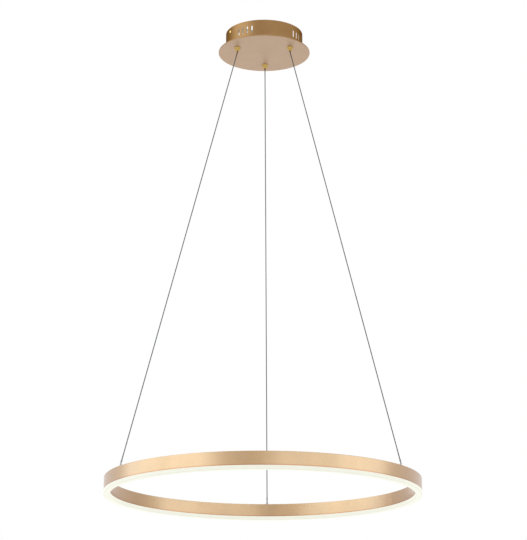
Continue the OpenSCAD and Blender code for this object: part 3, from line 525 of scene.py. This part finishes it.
@dataclass(frozen=True)
class CoatedStrand:
    """Stranded steel wire under a clear coating. The strands follow the piece's own UV map."""

    name: str = "coated_strand"
    colour: Colour = linear(84, 84, 85)
    # Painted shade: the darker tone in the grooves between strands
    groove_shade: Colour = linear(52, 52, 53)
    strands: int = 6
    lay: float = 0.009
    scuff_scale: float = 900.0

    def make(self) -> Material:
        """Build the material.

        Returns:
            The material.
        """
        sheet = NodeSheet(self.name)
        turn, length, _ = sheet.split(sheet.own("UV"))
        along = sheet.maths("DIVIDE", length, self.lay)
        twist = sheet.maths("MULTIPLY", sheet.maths("ADD", turn, along), float(self.strands))
        crown = sheet.maths("ABSOLUTE", sheet.maths("SINE", sheet.maths("MULTIPLY", twist, math.pi)))
        # Painted shade and highlight: grooves between strands take a darker tone, strand crowns a slightly
        # lighter one
        stops = [(0.0, self.groove_shade), (0.35, self.colour), (1.0, shade(self.colour, 1.06))]
        scuff = sheet.noise(sheet.place(), self.scuff_scale, detail=2.0)
        sheet.paint(sheet.tint(crown, stops), sheet.spread(scuff, 0.28, 0.42))
        sheet.raise_surface(crown, depth=0.00003)
        sheet.set(Metallic=0.4, Coat_Weight=0.3, Coat_Roughness=0.15)
        return sheet.material


@dataclass(frozen=True)
class CircuitBoard:
    """Green lacquered board with tracks."""

    name: str = "circuit_board"
    colour: Colour = linear(34, 96, 58)
    track: Colour = linear(62, 132, 84)
    track_scale: float = 260.0
    speckle_scale: float = 1500.0

    def make(self) -> Material:
        """Build the material.

        Returns:
            The material.
        """
        sheet = NodeSheet(self.name)
        place = sheet.place()
        tracks = sheet.add("ShaderNodeTexVoronoi", distance="MANHATTAN", feature="DISTANCE_TO_EDGE")
        tracks.inputs["Scale"].default_value = self.track_scale
        sheet.join(place, tracks.inputs["Vector"])
        edge = tracks.outputs["Distance"]
        stops = [(0.04, self.track), (0.09, self.colour)]
        speckle = sheet.noise(place, self.speckle_scale, detail=2.0)
        sheet.paint(sheet.tint(edge, stops), sheet.spread(speckle, 0.25, 0.4))
        sheet.raise_surface(edge, depth=0.00002)
        return sheet.material


@dataclass(frozen=True)
class EarthInsulation:
    """Green lead insulation with a yellow stripe on its upper side."""

    name: str = "earth_insulation"
    green: Colour = linear(70, 142, 62)
    yellow: Colour = linear(226, 206, 60)
    scuff_scale: float = 700.0

    def make(self) -> Material:
        """Build the material.

        Returns:
            The material.
        """
        sheet = NodeSheet(self.name)
        upright = sheet.split(sheet.own("Normal"))[2]
        stripe = sheet.spread(upright, 0.0, 1.0, start=0.28, end=0.34)
        colour = sheet.tint(stripe, [(0.4, self.green), (0.6, self.yellow)])
        scuff = sheet.noise(sheet.place(), self.scuff_scale, detail=2.0)
        sheet.paint(colour, sheet.spread(scuff, 0.35, 0.5))
        sheet.raise_surface(scuff, depth=0.00001)
        return sheet.material


@dataclass
class Workshop:
    """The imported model's nodes and the finishes made so far."""

    frame: dict
    made: dict[str, Material] = field(default_factory=dict)

    def finish(self, finish: object) -> Material:
        """Give the material of a finish, made once.

        Args:
            finish: One of the finish classes.

        Returns:
            The material.
        """
        if finish.name not in self.made:
            self.made[finish.name] = finish.make()
        return self.made[finish.name]

    def dress(self, node: str, finish: object) -> None:
        """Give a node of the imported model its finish.

        Args:
            node: Name of the node.
            finish: One of the finish classes.
        """
        mesh = self.frame["nodes"][node].data
        material = self.finish(finish)
        mesh.materials.clear()
        mesh.materials.append(material)
        LOG.info("dressed %s with %s", node, material.name)

    def dress_all(self, finishes: dict[str, object]) -> None:
        """Give several nodes their finishes."""
        for node, finish in finishes.items():
            self.dress(node, finish)

    def add(self, mesh: Mesh, name: str, finish: object, body: str, slot: str) -> bpy.types.Object:
        """Turn a finished mesh into a piece that rides on a body.

        Args:
            mesh: The mesh, in place.
            name: Name of the piece.
            finish: One of the finish classes.
            body: Body that carries the piece.
            slot: Material slot of the record; not used.

        Returns:
            The piece.
        """
        data = bpy.data.meshes.new(name)
        mesh.to_mesh(data)
        mesh.free()
        data.materials.append(self.finish(finish))
        piece = bpy.data.objects.new(name, data)
        show(piece)
        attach(piece, body)
        LOG.info("made %s on %s, %d faces", name, body, len(data.polygons))
        return piece

    def soften(self, node: str, name: str, finish: object, slot: str, radius: float) -> None:
        """Put a softened piece in the place of a node of the canopy.

        Args:
            node: Name of the node.
            name: Name of the piece.
            finish: One of the finish classes.
            slot: Material slot of the record.
            radius: Width of its rounded edges.
        """
        mesh = Softening(radius).make(self.frame["nodes"][node])
        piece = self.add(mesh, name, finish, "canopy", slot)
        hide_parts(node)


@dataclass
class SubAssembly:
    """Some pieces of the light, and the workshop that makes them."""

    workshop: Workshop


BARE_ZINC = linear(222, 223, 223)
SATIN_GOLD_DRUM = Metal(
    "satin_gold_drum", linear(150, 114, 74), Grain.ROLLED, roughness=0.36, grain_size=0.00022, drift=0.07,
    edge=(0.28, 0.26, 0.26), lining=Lining(radius=0.0765, low=-1.0, colour=BARE_ZINC),
)
# The plate's side tone is painted shade: its upright edge takes the drum's darker tone
SATIN_GOLD_PLATE = Metal(
    "satin_gold_plate", linear(192, 164, 138), roughness=0.5, drift=0.03, side=linear(150, 114, 74),
    lining=Lining(radius=0.0763, low=-0.0387, colour=BARE_ZINC),
)
SATIN_GOLD_RING = Metal(
    "satin_gold_ring", linear(173, 135, 88), roughness=0.36, drift=0.08, coat=1.0, coat_index=1.8,
    edge=(0.9, 0.8, 0.8),
    # The rim band is painted light: a groove shadow and a warm reflection of the diffuser's glow along the
    # ring's lower edge
    rim=Rim(start=-0.9354, end=-0.9332, colour=linear(160, 100, 40)),
)
NICKEL = Metal("nickel", linear(138, 135, 131), roughness=0.3, grain_size=0.0003)
ZINC_STEEL = Metal(
    "zinc_steel", linear(232, 232, 229), roughness=0.45, metallic=0.4, grain_size=0.0006, drift=0.07,
)
ZINC_FLAKE = Metal(
    "zinc_flake", linear(242, 242, 239), roughness=0.6, metallic=0.1, grain_size=0.0006, drift=0.04,
)
WIRE_END = Metal(
    "coated_wire_end", linear(96, 96, 97), roughness=0.32, metallic=0.85, grain_size=0.0005, drift=0.08,
)
SPRING_STEEL = Metal("spring_steel", linear(150, 150, 154), roughness=0.25, drift=0.08)
SCREW_BRASS = Metal("screw_brass", linear(224, 190, 108), roughness=0.18)
MILL_ALUMINIUM = Metal("mill_aluminium", linear(200, 200, 203), Grain.ROLLED)
WHITE_PLASTIC = Plastic("white_plastic", linear(234, 234, 230))
GREY_PLASTIC = Plastic("grey_plastic", linear(214, 214, 208))
STRIP_WHITE = Plastic("strip_white", linear(232, 232, 228), roughness=0.4)
LED_YELLOW = Plastic("led_yellow", linear(236, 214, 118), roughness=0.3)
BROWN_LEAD = Plastic("brown_lead", linear(104, 62, 36), roughness=0.4)
BLUE_LEAD = Plastic("blue_lead", linear(52, 88, 158), roughness=0.4)
RED_LEAD = Plastic("red_lead", linear(168, 42, 34), roughness=0.4)


@dataclass
class Studio:
    """Camera, lamps, world and floor."""

    distance: float = 3.4676
    azimuth: float = 0.0297
    height: float = -1.5084
    pitch: float = 0.2838
    roll: float = 0.003
    focal_pixels: float = 1847.2
    long_side: float = 540.0
    sensor: float = 36.0
    clip: tuple[float, float] = (0.05, 60.0)
    floor_height: float = -5.6
    floor_size: float = 60.0
    floor_lift: float = 0.2
    shown_lift: float = 0.26
    surround: float = 0.6
    paint: Plastic = Plastic(
        "pale_floor", (0.86, 0.86, 0.86), roughness=0.8, texture_size=0.01, depth=0.00002, drift=0.01,
    )

    def build(self) -> None:
        """Make everything that isn't part of the light."""
        self.place_camera()
        self.light_world()
        self.lay_floor()
        self.hang_lamps()

    def place_camera(self) -> None:
        """Put the camera where the photograph was taken from."""
        data = bpy.data.cameras.new("camera")
        data.sensor_width = self.sensor
        data.lens = self.focal_pixels * self.sensor / self.long_side
        data.clip_start, data.clip_end = self.clip
        camera = bpy.data.objects.new("camera", data)
        spot = Matrix.Translation(polar(self.azimuth, self.distance, self.height))
        turn = Matrix.Rotation(self.azimuth, 4, "Z") @ Matrix.Rotation(math.pi / 2 + self.pitch, 4, "X")
        camera.matrix_world = spot @ turn @ Matrix.Rotation(self.roll, 4, "Z")
        show(camera)
        bpy.context.scene.camera = camera
        bpy.context.scene.view_settings.view_transform = "Standard"
        LOG.info("placed the camera")

    def seen(self, tree: bpy.types.NodeTree) -> Socket:
        """Tell whether a surface is seen by the camera, in a mirror or through glass.

        Args:
            tree: The node tree that asks.

        Returns:
            1 for such a ray and 0 for the others.
        """
        path = tree.nodes.new("ShaderNodeLightPath")
        shown = path.outputs["Is Camera Ray"]
        for ray in ("Is Glossy Ray", "Is Transmission Ray"):
            either = tree.nodes.new("ShaderNodeMath")
            either.operation = "MAXIMUM"
            tree.links.new(shown, either.inputs[0])
            tree.links.new(path.outputs[ray], either.inputs[1])
            shown = either.outputs[0]
        return shown

    def light_world(self) -> None:
        """Show a white background, and light the object more softly than that."""
        world = bpy.data.worlds.new("world")
        bpy.context.scene.world = world
        world.use_nodes = True
        tree = world.node_tree
        tree.nodes.clear()
        mix = tree.nodes.new("ShaderNodeMixShader")
        tree.links.new(self.seen(tree), mix.inputs["Fac"])
        for place, strength in ((1, self.surround), (2, 1.0)):
            background = tree.nodes.new("ShaderNodeBackground")
            background.inputs["Color"].default_value = (1.0, 1.0, 1.0, 1.0)
            background.inputs["Strength"].default_value = strength
            tree.links.new(background.outputs[0], mix.inputs[place])
        output = tree.nodes.new("ShaderNodeOutputWorld")
        tree.links.new(mix.outputs[0], output.inputs["Surface"])

    def lay_floor(self) -> None:
        """Lay a plain pale floor far below the ring."""
        mesh = bmesh.new()
        level = Matrix.Translation((0, 0, self.floor_height))
        bmesh.ops.create_grid(mesh, x_segments=1, y_segments=1, size=self.floor_size / 2, matrix=level)
        data = bpy.data.meshes.new("floor")
        mesh.to_mesh(data)
        mesh.free()
        paint = self.paint.make()
        tree = paint.node_tree
        shader = tree.nodes["Principled BSDF"]
        shader.inputs["Emission Color"].default_value = (1.0, 1.0, 1.0, 1.0)
        lift = tree.nodes.new("ShaderNodeMath")
        lift.operation = "MULTIPLY_ADD"
        lift.inputs[1].default_value = self.shown_lift
        lift.inputs[2].default_value = self.floor_lift
        tree.links.new(self.seen(tree), lift.inputs[0])
        tree.links.new(lift.outputs[0], shader.inputs["Emission Strength"])
        data.materials.append(paint)
        floor = bpy.data.objects.new("floor", data)
        show(floor)

    def hang_lamps(self) -> None:
        """Hang the soft boxes: five for the ring, one behind, one for the drum and one overhead."""
        lamps = [
            Softbox("ring_far_left", -89.0, width=2.3, glow=1.8),
            Softbox("ring_near_left", -49.0, width=2.1, glow=1.95),
            Softbox("ring_middle", -20.0, width=1.0, glow=0.2),
            Softbox("ring_near_right", 26.0, width=2.4, glow=1.2),
            Softbox("ring_far_right", 72.0, width=2.7, glow=1.7),
            Softbox("rear", 186.0, width=1.6, glow=1.1, tall=2.0, height=0.4, aim_height=-0.6),
            Softbox("canopy_left", -72.0, width=3.9, glow=1.4, tall=1.4, height=1.6, aim_height=0.0),
            Softbox(
                "overhead", 20.0, width=2.5, glow=1.5, tall=2.5, height=2.8, distance=0.8, aim_height=0.0,
            ),
        ]
        for lamp in lamps:
            lamp.build()


@dataclass(frozen=True)
class Softbox:
    """A rectangular soft lamp that faces the middle line. Its usual place is one for the ring."""

    name: str
    azimuth: float
    width: float
    glow: float
    tall: float = 1.8
    height: float = -0.4
    distance: float = 3.2
    aim_height: float = -0.93
    colour: Colour = (0.7, 0.87, 1.0)

    def build(self) -> None:
        """Hang the lamp."""
        data = bpy.data.lights.new(self.name, "AREA")
        data.shape = "RECTANGLE"
        data.size, data.size_y = self.width, self.tall
        data.energy = self.glow * math.pi * self.width * self.tall
        data.color = self.colour
        lamp = bpy.data.objects.new(self.name, data)
        spot = polar(math.radians(self.azimuth), self.distance, self.height)
        aim = Vector((0, 0, self.aim_height)) - spot
        lamp.matrix_world = stand(spot, aim, "-Z")
        lamp.visible_camera = False
        show(lamp)
        LOG.info("hung %s", self.name)


def show(thing: bpy.types.Object) -> None:
    """Put an object in the scene."""
    bpy.context.scene.collection.objects.link(thing)


def stand(spot: Vector, direction: Vector, axis: str = "Z") -> Matrix:
    """Give the transform that stands something on a spot with its axis along a direction."""
    return Matrix.Translation(spot) @ direction.to_track_quat(axis, "Y").to_matrix().to_4x4()


def spin(mesh: Mesh, section: Sequence, steps: int, rise: float = 0.0, closed: bool = True) -> Sequence:
    """Turn a section once round the upright axis.

    Args:
        mesh: The mesh.
        section: Points and edges of the section.
        steps: Number of steps.
        rise: Height gained at each step.
        closed: Whether the last step is joined to the first.

    Returns:
        Points and edges of the last step.
    """
    turned = bmesh.ops.spin(
        mesh, geom=section, cent=(0, 0, 0), axis=(0, 0, 1), dvec=(0, 0, rise), angle=2 * math.pi,
        steps=steps, use_merge=closed, use_normal_flip=False, use_duplicate=False,
    )
    return turned["geom_last"]


def break_edges(mesh: Mesh, edges: Sequence[bmesh.types.BMEdge], radius: float) -> None:
    """Round some edges of a mesh by a radius."""
    bmesh.ops.bevel(
        mesh, geom=edges, offset=radius, offset_type="OFFSET", segments=2, profile=0.5,
        affect="EDGES", clamp_overlap=True, material=-1,
    )


def sharp_edges(mesh: Mesh, angle: float) -> list[bmesh.types.BMEdge]:
    """Find the edges of a mesh that turn by more than an angle in radians."""
    return [edge for edge in mesh.edges if edge.is_manifold and edge.calc_face_angle(0.0) > angle]


def shade_smooth(mesh: Mesh, angle: float = math.radians(35)) -> None:
    """Shade a mesh smooth, apart from its sharp edges.

    Args:
        mesh: The mesh.
        angle: Turn of an edge from which it stays sharp.
    """
    for face in mesh.faces:
        face.smooth = True
    for edge in sharp_edges(mesh, angle):
        edge.smooth = False


@dataclass(frozen=True)
class Turning:
    """A turned form: a closed outline of radius and height, spun round the upright axis."""

    outline: Sequence[tuple[float, float]]
    edge: float
    steps: int = 64
    threaded: tuple[float, float] = (0.0, 0.0)

    def make(self) -> Mesh:
        """Spin the outline and break its edges, apart from those of the thread.

        Returns:
            The mesh, with its axis on the Z axis.
        """
        mesh = bmesh.new()
        corners = [
            bmesh.ops.create_vert(mesh, co=(radius, 0, height))["vert"][0]
            for radius, height in self.outline
        ]
        for start, end in zip(corners, corners[1:] + corners[:1]):
            bmesh.ops.contextual_create(mesh, geom=[start, end])
        spin(mesh, mesh.verts[:] + mesh.edges[:], self.steps)
        bmesh.ops.remove_doubles(mesh, verts=mesh.verts, dist=FINE_MERGE)
        bmesh.ops.recalc_face_normals(mesh, faces=mesh.faces)
        low, high = self.threaded
        plain = [
            edge for edge in sharp_edges(mesh, math.radians(20))
            if not low < (edge.verts[0].co.z + edge.verts[1].co.z) / 2 < high
        ]
        break_edges(mesh, plain, self.edge)
        return mesh

    def flute(self, mesh: Mesh, radius: float, depth: float) -> None:
        """Press every second row of a cylinder's points inward, as a straight knurl does.

        Args:
            mesh: The turned mesh.
            radius: Radius of the cylinder.
            depth: Depth of the knurl.
        """
        step = 2 * math.pi / self.steps
        rows = [
            vert for vert in mesh.verts
            if abs(vert.co.xy.length - radius) < depth / 10
            and round(math.atan2(vert.co.y, vert.co.x) / step) % 2
        ]
        share = 1 - depth / radius
        bmesh.ops.scale(mesh, vec=(share, share, 1), verts=rows)


@dataclass(frozen=True)
class Coil:
    """A compression spring of round wire with closed end turns."""

    radius: float = 0.002525
    wire: float = 0.0005
    height: float = 0.0068
    open_turns: int = 4
    closed_rise: float = 0.00052
    facets: int = 10
    steps: int = 24

    def make(self) -> Mesh:
        """Wind the spring turn by turn.

        Returns:
            The mesh, with its axis on the Z axis and the start of its wire at height zero.
        """
        mesh = bmesh.new()
        section = Matrix.Translation((self.radius, 0, 0)) @ Matrix.Rotation(math.pi / 2, 4, "X")
        bmesh.ops.create_circle(mesh, segments=self.facets, radius=self.wire / 2, matrix=section)
        open_rise = (self.height - 2 * self.closed_rise) / self.open_turns
        last = mesh.verts[:] + mesh.edges[:]
        for rise in (self.closed_rise, *[open_rise] * self.open_turns, self.closed_rise):
            last = spin(mesh, last, self.steps, rise / self.steps, closed=False)
        bmesh.ops.holes_fill(mesh, edges=[edge for edge in mesh.edges if edge.is_boundary], sides=0)
        bmesh.ops.recalc_face_normals(mesh, faces=mesh.faces)
        shade_smooth(mesh, math.radians(60))
        return mesh


@dataclass(frozen=True)
class Softening:
    """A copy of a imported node, merged, with its sharp edges rounded."""

    radius: float
    sharp: float = math.radians(40)
    flat: float = math.radians(0.5)

    def make(self, source: bpy.types.Object) -> Mesh:
        """Copy the node's mesh and round it.

        Args:
            source: The node's object.

        Returns:
            The softened mesh.
        """
        mesh = bmesh.new()
        mesh.from_mesh(source.data)
        bmesh.ops.remove_doubles(mesh, verts=mesh.verts, dist=MERGE)
        bmesh.ops.dissolve_limit(
            mesh, angle_limit=self.flat, verts=mesh.verts, edges=mesh.edges, delimit=set(),
        )
        break_edges(mesh, sharp_edges(mesh, self.sharp), self.radius)
        shade_smooth(mesh)
        return mesh


@dataclass
class SuspensionWire(SubAssembly):
    """One straight coated wire from its gripper to the bead above the ring."""

    wire: Wire
    diameter: float = 0.002
    gripper_radius: float = 0.061
    ring_radius: float = 0.294
    exit_height: float = -0.0502
    nipple_height: float = -0.9058
    bead_end: float = 0.00871
    joint_gap: float = 0.0002
    travel: float = 0.4
    facets: int = 16
    spans: int = 60
    path_spans: int = 15

    @property
    def top(self) -> Vector:
        """Point where the wire leaves the gripper."""
        return self.wire.point(self.gripper_radius, self.exit_height)

    @property
    def line(self) -> Vector:
        """The wire's run, from its top to the upper end of the bead."""
        full = self.wire.point(self.ring_radius, self.nipple_height) - self.top
        return full * ((full.length - self.bead_end - self.joint_gap) / full.length)

    def build(self) -> None:
        line = self.line
        mesh = bmesh.new()
        end = bmesh.ops.create_vert(mesh, co=(self.diameter / 2, 0, 0))["vert"]
        step = (0, 0, line.length / self.spans)
        for _ in range(self.spans):
            end = bmesh.ops.extrude_vert_indiv(mesh, verts=end)["verts"]
            bmesh.ops.translate(mesh, verts=end, vec=step)
        spin(mesh, mesh.edges[:], self.facets)
        bmesh.ops.remove_doubles(mesh, verts=mesh.verts, dist=MERGE)
        bmesh.ops.holes_fill(mesh, edges=[edge for edge in mesh.edges if edge.is_boundary], sides=0)
        bmesh.ops.recalc_face_normals(mesh, faces=mesh.faces)
        self.map_surface(mesh)
        for face in mesh.faces:
            face.smooth = len(face.verts) == 4
        bmesh.ops.transform(mesh, matrix=stand(self.top, line), verts=mesh.verts)
        side = self.wire.label
        piece = self.workshop.add(mesh, f"suspension_wire_{side}", CoatedStrand(), "canopy", "coated_wire")
        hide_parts(f"wire_{side}")
        tuple(self.top)
        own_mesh(piece)
        shares = [span / self.path_spans for span in range(self.path_spans + 1)]
        points = [tuple(self.top + line * share) for share in shares]

    def map_surface(self, mesh: Mesh) -> None:
        """Unroll the tube: U goes once round it, V is the length along it in metres.

        Args:
            mesh: The tube, still upright on zero.
        """
        layer = mesh.loops.layers.uv.new("UVMap")
        for face in mesh.faces:
            middle = face.calc_center_median()
            base = math.atan2(middle.y, middle.x)
            for loop in face.loops:
                point = loop.vert.co
                turn = math.atan2(point.y, point.x)
                turn += 2 * math.pi * round((base - turn) / (2 * math.pi))
                loop[layer].uv = (turn / (2 * math.pi), point.z)


@dataclass
class Gripper(SubAssembly):
    """One cable gripper in the canopy plate, with the wire's upper end."""

    wire: Wire
    radius: float = 0.061
    plate_low: float = -0.041
    flange_radius: float = 0.007
    flange: float = 0.0014
    rim: float = 0.0006
    cone_top: float = 0.0062
    cone_low: float = 0.0027
    nose: float = 0.0072
    nozzle_hole: float = 0.0018
    seat_low: float = -0.0054
    seat_low_radius: float = 0.00222
    seat_top: float = 0.003
    bore: float = 0.00355
    cap_low: float = 0.012
    cap_bore: float = 0.00395
    stud_radius: float = 0.00495
    stud: float = 0.016
    thread_start: float = 0.0028
    pitch: float = 0.001
    thread_depth: float = 0.0005
    root: tuple[float, float] = (0.45, 0.55)
    thread_end: float = 0.0002
    margin: float = 0.00001
    spring_start: float = 0.0049
    press: float = 0.0016
    edge: float = 0.00025

    def body_outline(self) -> list[tuple[float, float]]:
        """Give the body's section as radius and height above the plate's underside."""
        core = self.stud_radius - self.thread_depth
        turns = int((self.stud - self.thread_start) / self.pitch)
        root_start, root_end = self.root
        thread = [
            (radius, self.thread_start + (turn + share) * self.pitch)
            for turn in range(turns)
            for radius, share in ((self.stud_radius, 0.0), (core, root_start), (core, root_end))
        ]
        return [
            (self.nozzle_hole, -self.nose), (self.cone_low, -self.nose), (self.cone_top, -self.flange),
            (self.flange_radius, -self.rim), (self.flange_radius, 0.0), (self.stud_radius, 0.0), *thread,
            (self.stud_radius, self.thread_start + turns * self.pitch), (self.stud_radius, self.stud),
            (self.cap_bore, self.stud), (self.cap_bore, self.cap_low), (self.bore, self.cap_low),
            (self.bore, self.seat_top), (self.seat_low_radius, self.seat_low),
            (self.nozzle_hole, self.seat_low),
        ]

    def build_body(self, brass: Metal) -> None:
        """Turn the body, with its flange, cone, clamping seat and thread.

        Args:
            brass: The body's finish.
        """
        threaded = (self.thread_start - self.margin, self.stud - self.thread_end)
        mesh = Turning(self.body_outline(), self.edge, threaded=threaded).make()
        shade_smooth(mesh)
        bmesh.ops.translate(mesh, verts=mesh.verts, vec=self.wire.point(self.radius, self.plate_low))
        side = self.wire.label
        piece = self.workshop.add(mesh, f"threaded_gripper_{side}", brass, "canopy", "brass")
        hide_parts(f"gripper_body_{side}")

    def build_spring(self) -> None:
        """Wind the return spring."""
        coil = Coil()
        mesh = coil.make()
        foot = self.wire.point(self.radius, self.plate_low + self.spring_start)
        bmesh.ops.translate(mesh, verts=mesh.verts, vec=foot)
        side = self.wire.label
        piece = self.workshop.add(mesh, f"return_spring_{side}", SPRING_STEEL, "canopy", "hardened_steel")
        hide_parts(f"gripper_spring_{side}")
        top = self.wire.point(self.radius, self.plate_low + self.spring_start + coil.height + coil.wire / 2)
        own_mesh(piece)

    def dress(self) -> None:
        """Give the gripper's pieces their finishes."""
        side = self.wire.label
        centre = tuple(self.wire.point(self.radius, 0.0))
        brass = Metal(
            f"turned_brass_{side}", linear(188, 156, 88), Grain.TURNED, roughness=0.2,
            grain_size=0.00025, drift=0.08, centre=centre,
        )
        dark = Metal(
            f"turned_nozzle_{side}", linear(146, 118, 76), Grain.TURNED, roughness=0.28,
            grain_size=0.0002, drift=0.08, centre=centre,
        )
        self.build_body(brass)
        self.build_spring()
        for part in ("locknut", "cap"):
            self.workshop.dress(f"gripper_{part}_{side}", brass)
        self.workshop.dress(f"gripper_plunger_{side}", dark)
        self.workshop.dress(f"gripper_balls_{side}", SPRING_STEEL)
        self.workshop.dress(f"wire_tail_{side}", WIRE_END)


@dataclass
class Canopy(SubAssembly):
    """The ceiling canopy: drum, plate, bracket and fasteners."""

    strap_edge: float = 0.0003

    def dress(self) -> None:
        """Give the canopy's pieces their finishes."""
        self.workshop.dress("canopy_drum", SATIN_GOLD_DRUM)
        self.workshop.dress("canopy_plate", SATIN_GOLD_PLATE)
        self.workshop.soften("ceiling_bracket", "ceiling_strap", ZINC_FLAKE, "zinc_steel", self.strap_edge)
        self.workshop.dress("plate_nuts", ZINC_STEEL)
        self.workshop.dress("side_screws", SCREW_BRASS)


@dataclass
class Electrics(SubAssembly):
    """Driver and mains side inside the canopy."""

    fine_edge: float = 0.0003
    cover_edge: float = 0.0006

    def dress(self) -> None:
        """Give the electric pieces their finishes."""
        finishes = {
            "driver_board": CircuitBoard(),
            "terminal_screws": ZINC_STEEL,
            "cable_clamp": ZINC_STEEL,
            "earth_eyelet": ZINC_STEEL,
            "live_lead": BROWN_LEAD,
            "neutral_lead": BLUE_LEAD,
            "earth_lead": EarthInsulation(),
        }
        self.workshop.dress_all(finishes)
        softened = (
            ("driver_base", "driver_tray", WHITE_PLASTIC, self.fine_edge),
            ("driver_cover", "driver_housing", WHITE_PLASTIC, self.cover_edge),
            ("terminal_block", "mains_terminal", GREY_PLASTIC, self.fine_edge),
        )
        for node, name, finish, edge in softened:
            self.workshop.soften(node, name, finish, "white_plastic", edge)


@dataclass
class WireFoot(SubAssembly):
    """The crimped bead and the knurled nipple at the lower end of a wire."""

    wire: Wire
    ring_radius: float = 0.294
    ring_top: float = -0.911
    nipple_bore: float = 0.0013
    thread_radius: float = 0.00245
    thread: float = 0.0059
    collar_radius: float = 0.0028
    collar: float = 0.0014
    stem_radius: float = 0.00185
    stem: float = 0.0052
    knurl: float = 0.0001
    bead_start: float = 0.003311
    bead_length: float = 0.0054
    bead_bore: float = 0.001025
    bead_lip: float = 0.00115
    bead_radius: float = 0.0017
    bead_edge: float = 0.0008
    crimp: tuple[float, float] = (0.0017, 0.0037)
    crimp_slope: float = 0.0003
    crimp_share: float = 0.84
    edge: float = 0.00015

    def build_nipple(self) -> None:
        """Turn the nipple, and knurl its collar."""
        turned = Turning(
            [
                (self.nipple_bore, -self.thread), (self.thread_radius, -self.thread),
                (self.thread_radius, 0.0), (self.collar_radius, 0.0), (self.collar_radius, self.collar),
                (self.stem_radius, self.collar), (self.stem_radius, self.stem), (self.nipple_bore, self.stem),
            ],
            self.edge,
        )
        mesh = turned.make()
        turned.flute(mesh, self.collar_radius, self.knurl)
        shade_smooth(mesh, math.radians(20))
        bmesh.ops.translate(mesh, verts=mesh.verts, vec=self.wire.point(self.ring_radius, self.ring_top))
        piece = self.workshop.add(mesh, f"knurled_nipple_{self.wire.label}", NICKEL, "ring", "nickel")
        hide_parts(f"ring_nipple_{self.wire.label}")

    def build_bead(self, line: Vector) -> None:
        """Turn the bead, and press it flat on two sides as the crimping pliers do.

        Args:
            line: The wire's run, downward.
        """
        length = self.bead_length
        turned = Turning(
            [
                (self.bead_bore, 0.0), (self.bead_lip, 0.0), (self.bead_radius, self.bead_edge),
                (self.bead_radius, length - self.bead_edge), (self.bead_lip, length),
                (self.bead_bore, length),
            ],
            self.edge,
        )
        mesh = turned.make()
        low, high = self.crimp
        for height in (low - self.crimp_slope, low, high, high + self.crimp_slope):
            bmesh.ops.bisect_plane(
                mesh, geom=mesh.verts[:] + mesh.edges[:] + mesh.faces[:], dist=FINE_MERGE,
                plane_co=(0, 0, height), plane_no=(0, 0, 1),
            )
        pressed = [
            vert for vert in mesh.verts
            if low - MERGE < vert.co.z < high + MERGE and vert.co.xy.length > self.bead_lip
        ]
        bmesh.ops.scale(mesh, vec=(self.crimp_share, 1, 1), verts=pressed)
        shade_smooth(mesh, math.radians(25))
        up = -line.normalized()
        foot = self.wire.point(self.ring_radius, self.ring_top + self.stem) + up * self.bead_start
        bmesh.ops.transform(mesh, matrix=stand(foot, up), verts=mesh.verts)
        piece = self.workshop.add(mesh, f"pressed_bead_{self.wire.label}", NICKEL, "ring", "nickel")
        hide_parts(f"crimp_bead_{self.wire.label}")


@dataclass
class LightRing(SubAssembly):
    """The ring: profile, diffuser, light strip and the pieces that the wires end in."""

    def dress(self) -> None:
        """Give the ring's pieces their finishes."""
        finishes = {
            "ring_profile": SATIN_GOLD_RING,
            "ring_joiner": MILL_ALUMINIUM,
            "joiner_screws": NICKEL,
            "diffuser": OpalAcrylic(),
            "led_strip": STRIP_WHITE,
            "led_chips": LED_YELLOW,
            "ring_leads": RED_LEAD,
            "anchor_nuts": NICKEL,
            "wire_stops": NICKEL,
        }
        self.workshop.dress_all(finishes)
        for wire in Wire:
            self.workshop.dress(f"wire_end_{wire.label}", WIRE_END)
            foot = WireFoot(self.workshop, wire)
            foot.build_nipple()
            foot.build_bead(SuspensionWire(self.workshop, wire).line)


def main() -> None:
    """Build the whole scene in order."""
    logging.basicConfig(level=logging.INFO, format="%(message)s")
    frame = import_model()
    Studio().build()
    workshop = Workshop(frame)
    for wire in Wire:
        SuspensionWire(workshop, wire).build()
    Canopy(workshop).dress()
    for wire in Wire:
        Gripper(workshop, wire).dress()
    Electrics(workshop).dress()
    LightRing(workshop).dress()


if __name__ == "__main__":
    main()
